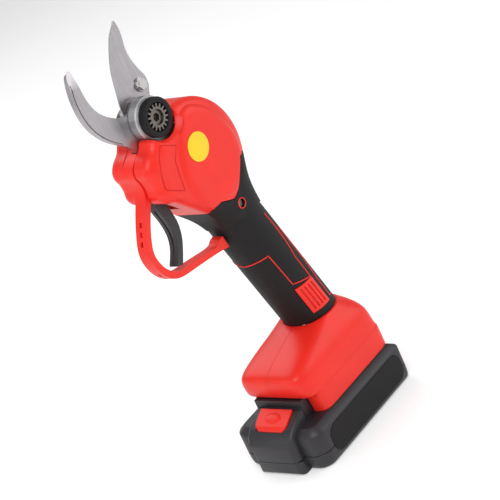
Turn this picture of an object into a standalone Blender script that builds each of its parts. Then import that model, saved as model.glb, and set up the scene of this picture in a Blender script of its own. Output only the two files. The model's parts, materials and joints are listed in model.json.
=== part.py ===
"""Battery electric pruner, standing on its battery pack.

The frame: +Z is up along the tool, -X is the front, where the trigger and the battery latch are,
and -Y is the side with the adjusting nut. The origin is on the pack's underside, at its middle.
Sizes are in millimetres here, and the helpers turn them into metres.
"""
import math

import bmesh
import bpy
from mathutils import Matrix, Vector

MM = 0.001
GAP = 0.3                    # clearance between pieces that touch
SEAM = 0.3                   # gap between the left and right halves of a casing

# Blades and pivot
PIVOT_X = -38.5
PIVOT_Z = 268.5
FIXED_BLADE_THICKNESS = 4.5
MOVING_BLADE_THICKNESS = 3.3
PIVOT_SHAFT_RADIUS = 4.0
RUNNING_CLEARANCE = 0.3
BOSS_RADIUS = 14.2
BOSS_DEPTH = 8.0
LOCK_DISC_RADIUS = 13.0
LOCK_DISC_DEPTH = 4.7
NUT_TEETH = 16
NUT_TIP_RADIUS = 8.9
NUT_ROOT_RADIUS = 6.7
NUT_THICKNESS = 2.4
BLADE_BOLT_X = -25.1
BLADE_BOLT_Z = 286.0
BLADE_BOLT_RADIUS = 2.0
BLADE_BOLT_HEAD = 6.6            # across the flats, as on its nut
TANG_SCREW_PLACE = (-49.3, 250.8)
TANG_BORE_RADIUS = 2.3

# Gear train, on one axis that runs from the pivot down into the handle
DRIVE_TILT_DEG = 22.0
PINION_TEETH = 8
BEVEL_TEETH = 32             # teeth of the sector's full circle
SECTOR_TEETH = 6
BEVEL_INNER = 15.5           # distance from the pivot to the teeth's near and far ends
BEVEL_OUTER = 23.0
SECTOR_BACK_Y = 10.0
BEARING_START = 26.0
BEARING_LENGTH = 5.0
BEARING_OUTER_RADIUS = 9.4
GEAR_TUBE_RADIUS = 14.4
GEARBOX_START = 41.3
GEARBOX_LENGTH = 15.0
GEAR_MODULE = 0.78
SUN_TEETH = 12
PLANET_TEETH = 9
PLANET_COUNT = 3
PLANET_PIN_RADIUS = 1.0
PLANET_WIDTH = 6.0
TOOTH_SHARE = 0.36               # half a tooth's foot as a share of its pitch
MOTOR_RADIUS = 13.5
MOTOR_LENGTH = 40.0

# Casing
HEAD_CENTRE_X = -21.0
HEAD_CENTRE_Z = 225.0
HEAD_RADIUS = 42.5
HEAD_HALF_WIDTH = 19.8
NOSE_HALF_WIDTH = 15.0
ROUND_PANEL_RADIUS = 25.0
ROUND_PANEL_HEIGHT = 2.4
LABEL_RADIUS = 9.7
LABEL_THICKNESS = 0.4
CASING_WALL = 2.2
HANDLE_TOP_X = 4.7           # centre line of the handle at HANDLE_TOP_Z
HANDLE_TOP_Z = 154.5
HANDLE_LEAN = 0.288          # how far the centre line moves forward for each unit upwards
HANDLE_HALF_DEPTH = 20.4
HANDLE_HALF_WIDTH = 19.4
GRIP_THICKNESS = 2.0
GRIP_BOTTOM_Z = 76.0
GUARD_WIDTH = 9.0
TRIGGER_WIDTH = 7.4
TRIGGER_PIN_X = -56.0
TRIGGER_PIN_Z = 225.0
TRIGGER_PIN_RADIUS = 1.5
MAGNET_PLACE = (-55.4, 216.0)
MAGNET_RADIUS = 2.0
LABEL_PLACE = (-22.9, 237.0)
INSERT_LOW = 82.0
INSERT_HIGH = 106.0
INSERT_START_DEG = 236.0         # round the handle, from the back towards the -Y side
INSERT_END_DEG = 284.0
INSERT_DEPTH = 1.5
SCREW_HEAD_RADIUS = 2.6
SCREW_SHANK_RADIUS = 1.3
BOARD_LOW = 92.0                 # the controller board in the handle
BOARD_HIGH = 158.0
WIRE_RADIUS = 1.1
SPRING_WIRE_RADIUS = 0.35

# Battery pack
PACK_FRONT = -53.2
PACK_REAR = 57.0
PACK_HALF_WIDTH = 37.5
PACK_SIDE_HEIGHT = 26.0
PACK_TOP = 30.0
PACK_SEAM_HEIGHT = 10.6
PACK_BEVEL = 5.5
PACK_WALL = 2.0
LATCH_FRONT = -61.1
LATCH_HALF_WIDTH = 20.2
NECK_FRONT = -36.6
NECK_REAR = 20.0
NECK_TOP = 44.4
NECK_HALF_WIDTH = 20.7
CELL_RADIUS = 9.0
CELL_LENGTH = 65.0
CELL_COUNT = 5
CELL_PITCH = 19.2
CELL_HEIGHT = 12.4
BUTTON_HALF_WIDTH = 14.0
BUTTON_TRAVEL = 3.5
BUTTON_REAR = -39.6
BUTTON_FRONT = -53.4
BUTTON_BASE_Z = 28.2
BUTTON_PROUD = 1.6
CONTACT_SPACING = 16.0

for old in list(bpy.data.objects):
    bpy.data.objects.remove(old, do_unlink=True)

parts = bpy.data.collections.new("electric_pruner")
cutters = bpy.data.collections.new("cutters")
bpy.context.scene.collection.children.link(parts)
bpy.context.scene.collection.children.link(cutters)


def finish(name, colour, roughness, metallic=0.0):
    material = bpy.data.materials.new(name)
    material.use_nodes = True
    shader = material.node_tree.nodes["Principled BSDF"]
    shader.inputs["Base Color"].default_value = (*colour, 1.0)
    shader.inputs["Roughness"].default_value = roughness
    shader.inputs["Metallic"].default_value = metallic
    material.diffuse_color = (*colour, 1.0)
    return material


RED = finish("red_plastic", (0.80, 0.035, 0.02), 0.45)
BLACK = finish("black_rubber", (0.018, 0.016, 0.017), 0.7)
DARK = finish("dark_plastic", (0.04, 0.04, 0.045), 0.5)
STEEL = finish("blade_steel", (0.45, 0.43, 0.45), 0.35, 1.0)
BRIGHT = finish("bright_steel", (0.7, 0.7, 0.7), 0.2, 1.0)
ALUMINIUM = finish("aluminium", (0.75, 0.75, 0.76), 0.3, 1.0)
YELLOW = finish("yellow_label", (0.9, 0.65, 0.04), 0.5)
GREEN = finish("circuit_board", (0.02, 0.18, 0.08), 0.5)
COPPER = finish("copper", (0.8, 0.4, 0.2), 0.3, 1.0)
CELL_BLUE = finish("cell_sleeve", (0.05, 0.2, 0.5), 0.4)



# ---- helpers ----

def add_mesh(name, mesh, material, collection=parts):
    obj = bpy.data.objects.new(name, mesh)
    mesh.materials.clear()
    if material is not None:
        mesh.materials.append(material.copy())
    collection.objects.link(obj)
    if collection == cutters:
        obj.hide_render = True
        obj.display_type = "WIRE"
    return obj


def from_bmesh(name, bm, material, collection=parts):
    bmesh.ops.recalc_face_normals(bm, faces=bm.faces)
    mesh = bpy.data.meshes.new(name)
    bm.to_mesh(mesh)
    bm.free()
    mesh.shade_smooth()
    mesh.set_sharp_from_angle(angle=math.radians(30))
    return add_mesh(name, mesh, material, collection)


def loft(name, rings, material, collection=parts):
    """A closed skin through rings of equal length, with a face across each end."""
    bm = bmesh.new()
    rows = [[bm.verts.new(Vector(point) * MM) for point in ring] for ring in rings]
    for first, second in zip(rows, rows[1:]):
        count = len(first)
        for i in range(count):
            j = (i + 1) % count
            bm.faces.new((first[i], first[j], second[j], second[i]))
    bm.faces.new(rows[0][::-1])
    bm.faces.new(rows[-1])
    return from_bmesh(name, bm, material, collection)


def plate(name, outlines, low_y, high_y, material, collection=parts):
    """A flat piece between two values of Y: its outline, then any holes, as (x, z) points."""
    curve = bpy.data.curves.new(name, "CURVE")
    curve.dimensions = "2D"
    curve.fill_mode = "BOTH"
    curve.extrude = (high_y - low_y) / 2 * MM
    for outline in outlines:
        spline = curve.splines.new("POLY")
        spline.points.add(len(outline) - 1)
        for point, (x, z) in zip(spline.points, outline):
            point.co = (x * MM, z * MM, 0, 1)
        spline.use_cyclic_u = True
    flat = bpy.data.objects.new(name, curve)
    bpy.context.scene.collection.objects.link(flat)
    graph = bpy.context.evaluated_depsgraph_get()
    mesh = bpy.data.meshes.new_from_object(flat.evaluated_get(graph))
    bpy.data.objects.remove(flat)
    mesh.transform(Matrix.Translation((0, (low_y + high_y) / 2 * MM, 0)) @ Matrix.Rotation(math.pi / 2, 4, "X"))
    bm = bmesh.new()
    bm.from_mesh(mesh)
    bmesh.ops.remove_doubles(bm, verts=bm.verts, dist=0.000001)
    return from_bmesh(name, bm, material, collection)


def turned(name, profile, start, direction, material, steps=24, collection=parts):
    """A round piece: a profile of (radius, distance) turned about a line."""
    bm = bmesh.new()
    line = [bm.verts.new((radius * MM, 0, distance * MM)) for radius, distance in profile]
    edges = [bm.edges.new(pair) for pair in zip(line, line[1:])]
    if profile[0][0] > 0 or profile[-1][0] > 0:
        edges.append(bm.edges.new((line[-1], line[0])))
    bmesh.ops.spin(bm, geom=line + edges, cent=(0, 0, 0), axis=(0, 0, 1), steps=steps, angle=2 * math.pi)
    bmesh.ops.remove_doubles(bm, verts=bm.verts, dist=0.000001)
    turn = Vector((0, 0, 1)).rotation_difference(Vector(direction).normalized()).to_matrix().to_4x4()
    bmesh.ops.transform(bm, matrix=Matrix.Translation(Vector(start) * MM) @ turn, verts=bm.verts)
    return from_bmesh(name, bm, material, collection)


def rod(name, start, end, radius, material, steps=24, collection=parts):
    length = (Vector(end) - Vector(start)).length
    profile = [(0, 0), (radius, 0), (radius, length), (0, length)]
    return turned(name, profile, start, Vector(end) - Vector(start), material, steps, collection)


def cross_rod(name, x, z, low_y, high_y, radius, material, steps=24, collection=parts):
    return rod(name, (x, low_y, z), (x, high_y, z), radius, material, steps, collection)


def box(name, low, high, material, bevel=0.0, collection=parts):
    bm = bmesh.new()
    size = Vector(high) - Vector(low)
    middle = (Vector(high) + Vector(low)) / 2
    bmesh.ops.create_cube(bm, size=1, matrix=Matrix.Translation(middle * MM) @ Matrix.Diagonal((*(size * MM), 1)))
    if bevel:
        bmesh.ops.bevel(bm, geom=bm.edges, offset=bevel * MM, segments=2, affect="EDGES", profile=0.5)
    return from_bmesh(name, bm, material, collection)


def wire(name, points, radius, material):
    """A round lead through the given points."""
    curve = bpy.data.curves.new(name, "CURVE")
    curve.dimensions = "3D"
    curve.bevel_depth = radius * MM
    curve.bevel_resolution = 1
    curve.use_fill_caps = True
    spline = curve.splines.new("POLY")
    spline.points.add(len(points) - 1)
    for point, place in zip(spline.points, points):
        point.co = (*(Vector(place) * MM), 1)
    curve.materials.append(material.copy())
    obj = bpy.data.objects.new(name, curve)
    parts.objects.link(obj)
    return obj


def boolean(target, other, operation):
    """Apply a Boolean to a mesh piece, and remove the other piece."""
    modifier = target.modifiers.new("boolean", "BOOLEAN")
    modifier.operation = operation
    modifier.object = other
    graph = bpy.context.evaluated_depsgraph_get()
    mesh = bpy.data.meshes.new_from_object(target.evaluated_get(graph))
    target.modifiers.clear()
    mesh.shade_smooth()
    mesh.set_sharp_from_angle(angle=math.radians(30))
    target.data = mesh
    bpy.data.objects.remove(other, do_unlink=True)


def cut(target, *others):
    for other in others:
        boolean(target, other, "DIFFERENCE")


def join(target, *others):
    for other in others:
        boolean(target, other, "UNION")


def arc(centre, radius, start, end, steps):
    """Points of an arc in the side plane, from one angle to another in degrees."""
    points = []
    for i in range(steps + 1):
        angle = math.radians(start + (end - start) * i / steps)
        points.append((centre[0] + radius * math.cos(angle), centre[1] + radius * math.sin(angle)))
    return points


def circle(centre, radius, steps=24):
    return arc(centre, radius, 0, 360 * (steps - 1) / steps, steps - 1)


def smooth(points, steps=3, closed=False):
    """A soft line through the points, with the given number of steps between neighbours."""
    count = len(points)
    result = []
    for i in range(count if closed else count - 1):
        p0 = points[(i - 1) % count] if closed else points[max(i - 1, 0)]
        p1 = points[i]
        p2 = points[(i + 1) % count]
        p3 = points[(i + 2) % count] if closed else points[min(i + 2, count - 1)]
        for k in range(steps):
            t = k / steps
            result.append(tuple(
                0.5 * (2 * b + (c - a) * t + (2 * a - 5 * b + 4 * c - d) * t ** 2
                       + (3 * b - a - 3 * c + d) * t ** 3)
                for a, b, c, d in zip(p0, p1, p2, p3)))
    if not closed:
        result.append(points[-1])
    return result


def inset(outline, distance):
    """The outline moved inwards, for an outline that runs anticlockwise."""
    count = len(outline)
    result = []
    for i, (x, z) in enumerate(outline):
        before = Vector(outline[i - 1])
        after = Vector(outline[(i + 1) % count])
        first = (Vector((x, z)) - before).normalized()
        second = (after - Vector((x, z))).normalized()
        normal = Vector((-first.y, first.x)) + Vector((-second.y, second.x))
        normal.normalize()
        share = max(normal.dot(Vector((-first.y, first.x))), 0.5)
        result.append((x + normal.x * distance / share, z + normal.y * distance / share))
    return result


def pillow(name, outline, layers, centre, material, collection=parts):
    """A side outline filled out on both sides: each layer is (scale about the centre, half width)."""
    rings = []
    for scale, half in [(s, -h) for s, h in reversed(layers)] + list(layers):
        rings.append([(centre[0] + (x - centre[0]) * scale, half, centre[1] + (z - centre[1]) * scale)
                      for x, z in outline])
    return loft(name, rings, material, collection)


def split(name, whole, half_names):
    """Cut a casing along the middle plane into its left (-Y) and right (+Y) halves."""
    for side, half_name in zip((-1, 1), half_names):
        half = bpy.data.objects.new(half_name, whole.data.copy())
        parts.objects.link(half)
        edge = side * SEAM / 2
        low, high = (-200, edge) if side > 0 else (edge, 200)
        cut(half, box("seam_cutter", (-200, low, -50), (200, high, 400), None, 0, cutters))
    bpy.data.objects.remove(whole, do_unlink=True)


# ---- places worked out from the driving sizes ----

PIVOT = (PIVOT_X, PIVOT_Z)
TILT = math.radians(DRIVE_TILT_DEG)
DRIVE = Vector((math.sin(TILT), 0, -math.cos(TILT)))
ACROSS = Vector((math.cos(TILT), 0, math.sin(TILT)))
FIXED_NEAR_Y = -FIXED_BLADE_THICKNESS - GAP / 2
BOSS_BACK_Y = FIXED_NEAR_Y - GAP
BOSS_FRONT_Y = BOSS_BACK_Y - BOSS_DEPTH
DISC_BACK_Y = BOSS_FRONT_Y - GAP
DISC_FRONT_Y = DISC_BACK_Y - LOCK_DISC_DEPTH
MOVING_FAR_Y = GAP / 2 + MOVING_BLADE_THICKNESS
SECTOR_FACE_Y = MOVING_FAR_Y + GAP
ROUND_PANEL_Y = HEAD_HALF_WIDTH + ROUND_PANEL_HEIGHT
SHAFT_BORE = PIVOT_SHAFT_RADIUS + RUNNING_CLEARANCE
FOOT_BOTTOM = PACK_TOP + GAP
FOOT_OPENING = NECK_TOP + 2 * GAP
PITCH_CONE = math.atan(PINION_TEETH / BEVEL_TEETH)
BEVEL_MODULE_ANGLE = 2 * math.sin(PITCH_CONE) / PINION_TEETH
ADDENDUM = 0.70 * BEVEL_MODULE_ANGLE
DEDENDUM = 1.15 * BEVEL_MODULE_ANGLE
CARRIER_DISTANCE = BEARING_START + BEARING_LENGTH + 5.0
CENTRE_DISTANCE = GEAR_MODULE * (SUN_TEETH + PLANET_TEETH) / 2
RING_TEETH = SUN_TEETH + 2 * PLANET_TEETH


def on_drive(distance, across=0.0, y=0.0):
    """A point on the drive axis, measured from the pivot."""
    point = Vector((PIVOT_X, 0, PIVOT_Z)) + DRIVE * distance + ACROSS * across
    return (point.x, y, point.z)


def handle_x(z):
    return HANDLE_TOP_X + (HANDLE_TOP_Z - z) * HANDLE_LEAN


def oval(x, half_depth, half_width, z, power=2.0, steps=24):
    """A level section, from a plain oval to nearly a rectangle as the power grows."""
    ring = []
    for i in range(steps):
        angle = 2 * math.pi * (i + 0.5) / steps
        c, s = math.cos(angle), math.sin(angle)
        ring.append((x + half_depth * math.copysign(abs(c) ** (2 / power), c),
                     half_width * math.copysign(abs(s) ** (2 / power), s), z))
    return ring


def handle_section(z, smaller=0.0):
    return oval(handle_x(z), HANDLE_HALF_DEPTH - smaller, HANDLE_HALF_WIDTH - smaller, z)


# ---- blades ----

def make_fixed_blade():
    outer = smooth([(-74.2, 323.6), (-78.6, 322.0), (-81.4, 316.5), (-83.4, 307.5), (-83.6, 296.0),
                    (-81.4, 286.0), (-77.3, 278.0), (-71.5, 270.5), (-64.0, 263.8), (-57.5, 257.0),
                    (-53.5, 249.0), (-47.5, 247.5), (-44.0, 252.5), (-38.0, 255.5)], 2)
    round_pivot = arc(PIVOT, 12.8, -60, 100, 8)
    inner = smooth([(-46.0, 277.6), (-52.4, 277.8), (-59.4, 281.0), (-66.6, 286.8), (-71.6, 293.5),
                    (-74.4, 302.5), (-75.0, 312.0)], 2)
    blade = plate("fixed_blade", [outer + round_pivot + inner], FIXED_NEAR_Y, -GAP / 2, STEEL)
    groove_line = smooth([(-79.6, 309.0), (-80.6, 300.0), (-80.3, 291.5), (-77.8, 283.5), (-73.0, 275.5)], 2)
    groove = groove_line + [(x + 0.9, z + 0.5) for x, z in reversed(groove_line)]
    cut(blade, plate("groove", [groove], FIXED_NEAR_Y - 1, FIXED_NEAR_Y + 1.2, None, cutters))
    cut(blade, cross_rod("bore", *PIVOT, -20, 20, SHAFT_BORE, None, 24, cutters))
    cut(blade, cross_rod("bore", *TANG_SCREW_PLACE, -20, 20, TANG_BORE_RADIUS, None, 16, cutters))
    return blade


def make_moving_blade():
    back = smooth([(-22.0, 330.2), (-21.0, 324.5), (-21.6, 318.5), (-23.2, 311.0), (-22.8, 303.0),
                   (-20.2, 294.5), (-17.6, 288.0), (-18.0, 282.0)], 2)
    root = arc(PIVOT, 13.4, 0, -110, 7)
    front = smooth([(-48.0, 274.0), (-48.4, 281.0), (-45.4, 293.5), (-42.3, 304.5), (-37.2, 314.5),
                    (-31.0, 323.5)], 2)
    blade = plate("moving_blade", [back + root + front], GAP / 2, MOVING_FAR_Y, STEEL)
    cut(blade, cross_rod("bore", *PIVOT, -20, 20, SHAFT_BORE, None, 24, cutters))
    cut(blade, cross_rod("bore", BLADE_BOLT_X, BLADE_BOLT_Z, -20, 20, BLADE_BOLT_RADIUS + GAP, None, 16, cutters))
    return blade


def hexagon(centre, across_flats):
    return arc(centre, across_flats / math.sqrt(3), 0, 300, 5)


def make_blade_fasteners():
    place = (BLADE_BOLT_X, BLADE_BOLT_Z)
    bolt = cross_rod("blade_bolt", *place, -GAP - 2.6, SECTOR_FACE_Y + 7.5, BLADE_BOLT_RADIUS, BRIGHT, 16)
    join(bolt, plate("bolt_head", [hexagon(place, BLADE_BOLT_HEAD)], -GAP - 3.0, -GAP - 0.8, None, cutters))
    join(bolt, cross_rod("bolt_flange", *place, -GAP - 1.0, -GAP / 2, 4.2, None, 20, cutters))
    nut = plate("blade_nut", [hexagon(place, BLADE_BOLT_HEAD), circle(place, BLADE_BOLT_RADIUS + GAP, 16)],
                SECTOR_FACE_Y + 4.3, SECTOR_FACE_Y + 7.0, BRIGHT)
    return bolt, nut


def make_pivot():
    thread_start = DISC_FRONT_Y + 2.2
    thread_length = DISC_BACK_Y - 1.5 - thread_start
    head_start = SECTOR_BACK_Y + GAP - thread_start
    bolt_profile = [(0, 0), (4.7, 0), (4.7, thread_length), (PIVOT_SHAFT_RADIUS, thread_length),
                    (PIVOT_SHAFT_RADIUS, head_start), (7.0, head_start), (7.0, head_start + 3), (0, head_start + 3)]
    bolt = turned("pivot_bolt", bolt_profile, (PIVOT_X, thread_start, PIVOT_Z), (0, 1, 0), BRIGHT, 24)
    cut(bolt, plate("socket", [hexagon(PIVOT, 5.0)], DISC_FRONT_Y, DISC_FRONT_Y + 5.5, None, cutters))
    disc_profile = [(5.3, 0), (LOCK_DISC_RADIUS, 0), (LOCK_DISC_RADIUS, LOCK_DISC_DEPTH - 0.6),
                    (LOCK_DISC_RADIUS - 0.6, LOCK_DISC_DEPTH), (NUT_TIP_RADIUS + 0.7, LOCK_DISC_DEPTH),
                    (NUT_TIP_RADIUS + 0.4, LOCK_DISC_DEPTH - 0.4), (NUT_TIP_RADIUS + 0.4, 1.5), (5.3, 1.5)]
    disc = turned("lock_disc", disc_profile, (PIVOT_X, DISC_BACK_Y, PIVOT_Z), (0, -1, 0), BLACK)
    teeth = []
    for i in range(NUT_TEETH):
        middle = 2 * math.pi * i / NUT_TEETH
        pitch = 2 * math.pi / NUT_TEETH
        for radius, offset in ((NUT_ROOT_RADIUS, -0.30), (NUT_TIP_RADIUS, -0.19),
                               (NUT_TIP_RADIUS, 0.19), (NUT_ROOT_RADIUS, 0.30)):
            angle = middle + offset * pitch
            teeth.append((PIVOT_X + radius * math.cos(angle), PIVOT_Z + radius * math.sin(angle)))
    nut_back = DISC_BACK_Y - 1.5 - GAP
    nut = plate("splined_nut", [teeth, circle(PIVOT, 5.0)], nut_back - NUT_THICKNESS, nut_back, STEEL)
    return bolt, disc, nut


# ---- gear train ----

def gear_ring(teeth, root, tip, phase=0.0):
    """Points (across, y) of a toothed outline round the drive axis, with a tooth at the phase."""
    points = []
    pitch = 2 * math.pi / teeth
    for i in range(teeth):
        middle = phase + i * pitch
        for radius, offset in ((root, -0.62), (tip, -0.28), (tip, 0.28), (root, 0.62)):
            angle = middle + offset * TOOTH_SHARE * pitch
            points.append((radius * math.cos(angle), radius * math.sin(angle)))
    return points


def drive_ring(distance, points, offset=(0.0, 0.0)):
    return [on_drive(distance, a + offset[0], b + offset[1]) for a, b in points]


def make_sector_gear():
    """The bevel sector on the moving blade: its teeth face the pinion, across the drive axis."""
    pitch = 2 * math.pi / BEVEL_TEETH
    first = -(SECTOR_TEETH - 0.5) * pitch
    tip_angle = PITCH_CONE - ADDENDUM
    root_angle = PITCH_CONE + DEDENDUM
    stations = [(first + pitch / 2 - 0.9 * TOOTH_SHARE * pitch, root_angle)]
    for i in range(SECTOR_TEETH):
        middle = first + (i + 0.5) * pitch
        for offset, height in ((-0.62, root_angle), (-0.3, tip_angle), (0.3, tip_angle), (0.62, root_angle)):
            stations.append((middle + offset * TOOTH_SHARE * pitch, height))
    stations.append((first + (SECTOR_TEETH - 0.5) * pitch + 0.9 * TOOTH_SHARE * pitch, root_angle))
    rings = []
    for turn, height in stations:
        angle = TILT + turn + pitch / 2
        flat = Vector((math.sin(angle), 0, -math.cos(angle)))
        ring = []
        for distance, y in ((BEVEL_INNER, None), (BEVEL_OUTER, None),
                            (BEVEL_OUTER, SECTOR_BACK_Y), (BEVEL_INNER, SECTOR_BACK_Y)):
            level = distance * math.sin(height) if y is None else y
            point = Vector((PIVOT_X, 0, PIVOT_Z)) + flat * distance * math.cos(root_angle)
            ring.append((point.x, level, point.z))
        rings.append(ring)
    teeth = loft("teeth", rings, None, cutters)
    low = -90 + math.degrees(TILT + stations[0][0] + pitch / 2) + 1
    high = -90 + math.degrees(TILT + stations[-1][0] + pitch / 2) - 1
    gear = cross_rod("sector_gear", *PIVOT, SECTOR_FACE_Y, SECTOR_BACK_Y, 9.4, STEEL, 32)
    direction = Vector((BLADE_BOLT_X - PIVOT_X, BLADE_BOLT_Z - PIVOT_Z)).normalized()
    side = Vector((-direction.y, direction.x)) * 5.0
    start = Vector(PIVOT)
    end = Vector((BLADE_BOLT_X, BLADE_BOLT_Z))
    facing = math.degrees(math.atan2(direction.y, direction.x))
    arm = [tuple(start - side)] + arc(tuple(end), 5.0, facing - 90, facing + 90, 8) + [tuple(start + side)]
    join(gear, plate("arm", [arm], SECTOR_FACE_Y + 0.1, SECTOR_FACE_Y + 4.0, None, cutters))
    web = arc(PIVOT, BEVEL_INNER + 2.6, low, high, 8) + [PIVOT]
    join(gear, plate("web", [web], SECTOR_FACE_Y + 4.6, SECTOR_BACK_Y - 0.4, None, cutters))
    join(gear, teeth)
    cut(gear, cross_rod("bore", *PIVOT, -20, 30, SHAFT_BORE, None, 24, cutters))
    cut(gear, cross_rod("bore", BLADE_BOLT_X, BLADE_BOLT_Z, -20, 30, BLADE_BOLT_RADIUS + GAP, None, 16, cutters))
    return gear


def planet_places():
    for i in range(PLANET_COUNT):
        angle = 2 * math.pi * i / PLANET_COUNT
        yield angle, (CENTRE_DISTANCE * math.cos(angle), CENTRE_DISTANCE * math.sin(angle))


def make_pinion():
    """Bevel pinion, its shaft and the planet carrier, in one piece."""
    small = math.tan(PITCH_CONE - DEDENDUM)
    large = math.tan(PITCH_CONE + ADDENDUM)
    rings = []
    for distance in (BEVEL_INNER, BEVEL_OUTER):
        along = distance * math.cos(PITCH_CONE)
        rings.append(drive_ring(along, gear_ring(PINION_TEETH, along * small, along * large, math.pi / 2)))
    pinion = loft("bevel_pinion", rings, STEEL)
    join(pinion, rod("shaft", on_drive(BEVEL_OUTER - 3), on_drive(CARRIER_DISTANCE + 1), 3.8, None, 20, cutters))
    join(pinion, rod("carrier", on_drive(CARRIER_DISTANCE), on_drive(CARRIER_DISTANCE + 3), 11.0, None, 28, cutters))
    for angle, (across, y) in planet_places():
        join(pinion, rod("carrier_pin", on_drive(CARRIER_DISTANCE + 2.5, across, y),
                         on_drive(GEARBOX_START + GEARBOX_LENGTH - 7, across, y), PLANET_PIN_RADIUS, None, 12, cutters))
    return pinion


def make_bearing():
    profile = [(4.1, 0), (BEARING_OUTER_RADIUS, 0), (BEARING_OUTER_RADIUS, BEARING_LENGTH), (4.1, BEARING_LENGTH)]
    return turned("pinion_bearing", profile, on_drive(BEARING_START), DRIVE, BRIGHT)


def make_gearbox():
    ring_root = GEAR_MODULE * (RING_TEETH / 2 + 1.2)
    ring_tip = GEAR_MODULE * (RING_TEETH / 2 - 0.75)
    half_pitch = math.pi / RING_TEETH
    start = GEARBOX_START
    end = GEARBOX_START + GEARBOX_LENGTH
    ring = rod("ring_gear", on_drive(start), on_drive(end), GEAR_TUBE_RADIUS, STEEL, 28)
    inner = gear_ring(RING_TEETH, ring_root, ring_tip, half_pitch)
    cut(ring, loft("ring_teeth", [drive_ring(start - 1, inner), drive_ring(end + 1, inner)], None, cutters))
    planets = []
    for number, (angle, place) in enumerate(planet_places(), 1):
        outline = gear_ring(PLANET_TEETH, GEAR_MODULE * (PLANET_TEETH / 2 - 1.15),
                            GEAR_MODULE * (PLANET_TEETH / 2 + 0.75), angle)
        rings = [drive_ring(start + 0.6, outline, place), drive_ring(start + 0.6 + PLANET_WIDTH, outline, place)]
        planet = loft(f"planet_gear_{number}", rings, STEEL)
        cut(planet, rod("pin_bore", on_drive(start - 2, *place), on_drive(end, *place),
                        PLANET_PIN_RADIUS + 0.2, None, 12, cutters))
        planets.append(planet)
    return ring, planets


def make_motor():
    start = GEARBOX_START + GEARBOX_LENGTH + GAP
    end = start + MOTOR_LENGTH
    can_profile = [(3.2, 0), (MOTOR_RADIUS, 0), (MOTOR_RADIUS, MOTOR_LENGTH), (MOTOR_RADIUS - 1, MOTOR_LENGTH),
                   (MOTOR_RADIUS - 1, 2.0), (3.2, 2.0)]
    can = turned("motor_can", can_profile, on_drive(start), DRIVE, DARK)
    stator_profile = [(8.2, 0), (MOTOR_RADIUS - 1.3, 0), (MOTOR_RADIUS - 1.3, 26), (8.2, 26)]
    stator = turned("motor_stator", stator_profile, on_drive(start + 5), DRIVE, COPPER, 24)
    rotor = rod("motor_rotor", on_drive(start + 5), on_drive(start + 31), 7.6, STEEL)
    join(rotor, rod("rotor_shaft", on_drive(start - 9), on_drive(end - 1), 1.8, None, 16, cutters))
    sun = gear_ring(SUN_TEETH, GEAR_MODULE * (SUN_TEETH / 2 - 1.15), GEAR_MODULE * (SUN_TEETH / 2 + 0.75))
    sun_start = GEARBOX_START + 0.6
    join(rotor, loft("sun", [drive_ring(sun_start, sun), drive_ring(sun_start + 6.5, sun)], None, cutters))
    cap_profile = [(2.3, 0), (MOTOR_RADIUS - 1.3, 0), (MOTOR_RADIUS - 1.3, 2.5), (2.3, 2.5)]
    cap = turned("motor_end_cap", cap_profile, on_drive(end - 3.5), DRIVE, DARK)
    return can, stator, rotor, cap


def make_gear_housing():
    """The aluminium frame: the boss beside the fixed blade, an arm and the bearing tube."""
    boss_profile = [(0, 0), (BOSS_RADIUS, 0), (BOSS_RADIUS, BOSS_DEPTH - 2.2), (BOSS_RADIUS - 0.8, BOSS_DEPTH - 1.6),
                    (BOSS_RADIUS - 0.8, BOSS_DEPTH), (0, BOSS_DEPTH)]
    housing = turned("gear_housing", boss_profile, (PIVOT_X, BOSS_BACK_Y, PIVOT_Z), (0, -1, 0), ALUMINIUM, 32)
    tube_end = GEARBOX_START - GAP
    tube_length = tube_end - BEARING_START + 0.5
    tube = turned("bearing_tube", [(0, 0), (GEAR_TUBE_RADIUS, 0), (GEAR_TUBE_RADIUS, tube_length),
                                   (12.0, tube_length), (12.0, BEARING_LENGTH + 0.8), (0, BEARING_LENGTH + 0.8)],
                  on_drive(BEARING_START - 0.5), DRIVE, None, 28, cutters)
    corners = [on_drive(0, -9), on_drive(30, -9), on_drive(30, 9), on_drive(0, 9)]
    arm = [(x, z) for x, _, z in corners]
    join(housing, plate("arm", [arm], -11.6, -7.2, None, cutters))
    join(housing, tube)
    lobe_direction = Vector((on_drive(8)[0] - TANG_SCREW_PLACE[0], on_drive(8)[2] - TANG_SCREW_PLACE[1])).normalized()
    side = Vector((-lobe_direction.y, lobe_direction.x)) * 4.2
    facing = math.degrees(math.atan2(-lobe_direction.y, -lobe_direction.x))
    end = Vector((on_drive(8)[0], on_drive(8)[2]))
    outline = [tuple(end + side)] + arc(TANG_SCREW_PLACE, 4.2, facing - 90, facing + 90, 8) + [tuple(end - side)]
    join(housing, plate("lobe", [outline], -10.9, BOSS_BACK_Y - 0.1, None, cutters))
    cut(housing, rod("bearing_seat", on_drive(BEARING_START - 3), on_drive(BEARING_START + BEARING_LENGTH + 2),
                     BEARING_OUTER_RADIUS + 0.2, None, 26, cutters))
    cut(housing, cross_rod("bore", *PIVOT, -30, 20, SHAFT_BORE, None, 20, cutters))
    cut(housing, cross_rod("bore", *TANG_SCREW_PLACE, -30, 20, TANG_BORE_RADIUS, None, 16, cutters))
    return housing


def make_blade_screw():
    screw = cross_rod("blade_screw", *TANG_SCREW_PLACE, -10.0, -GAP / 2 + 1.0, 2.0, BRIGHT, 16)
    join(screw, cross_rod("screw_head", *TANG_SCREW_PLACE, GAP, 2.0, 3.4, None, 20, cutters))
    return screw


# ---- casing ----

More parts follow.
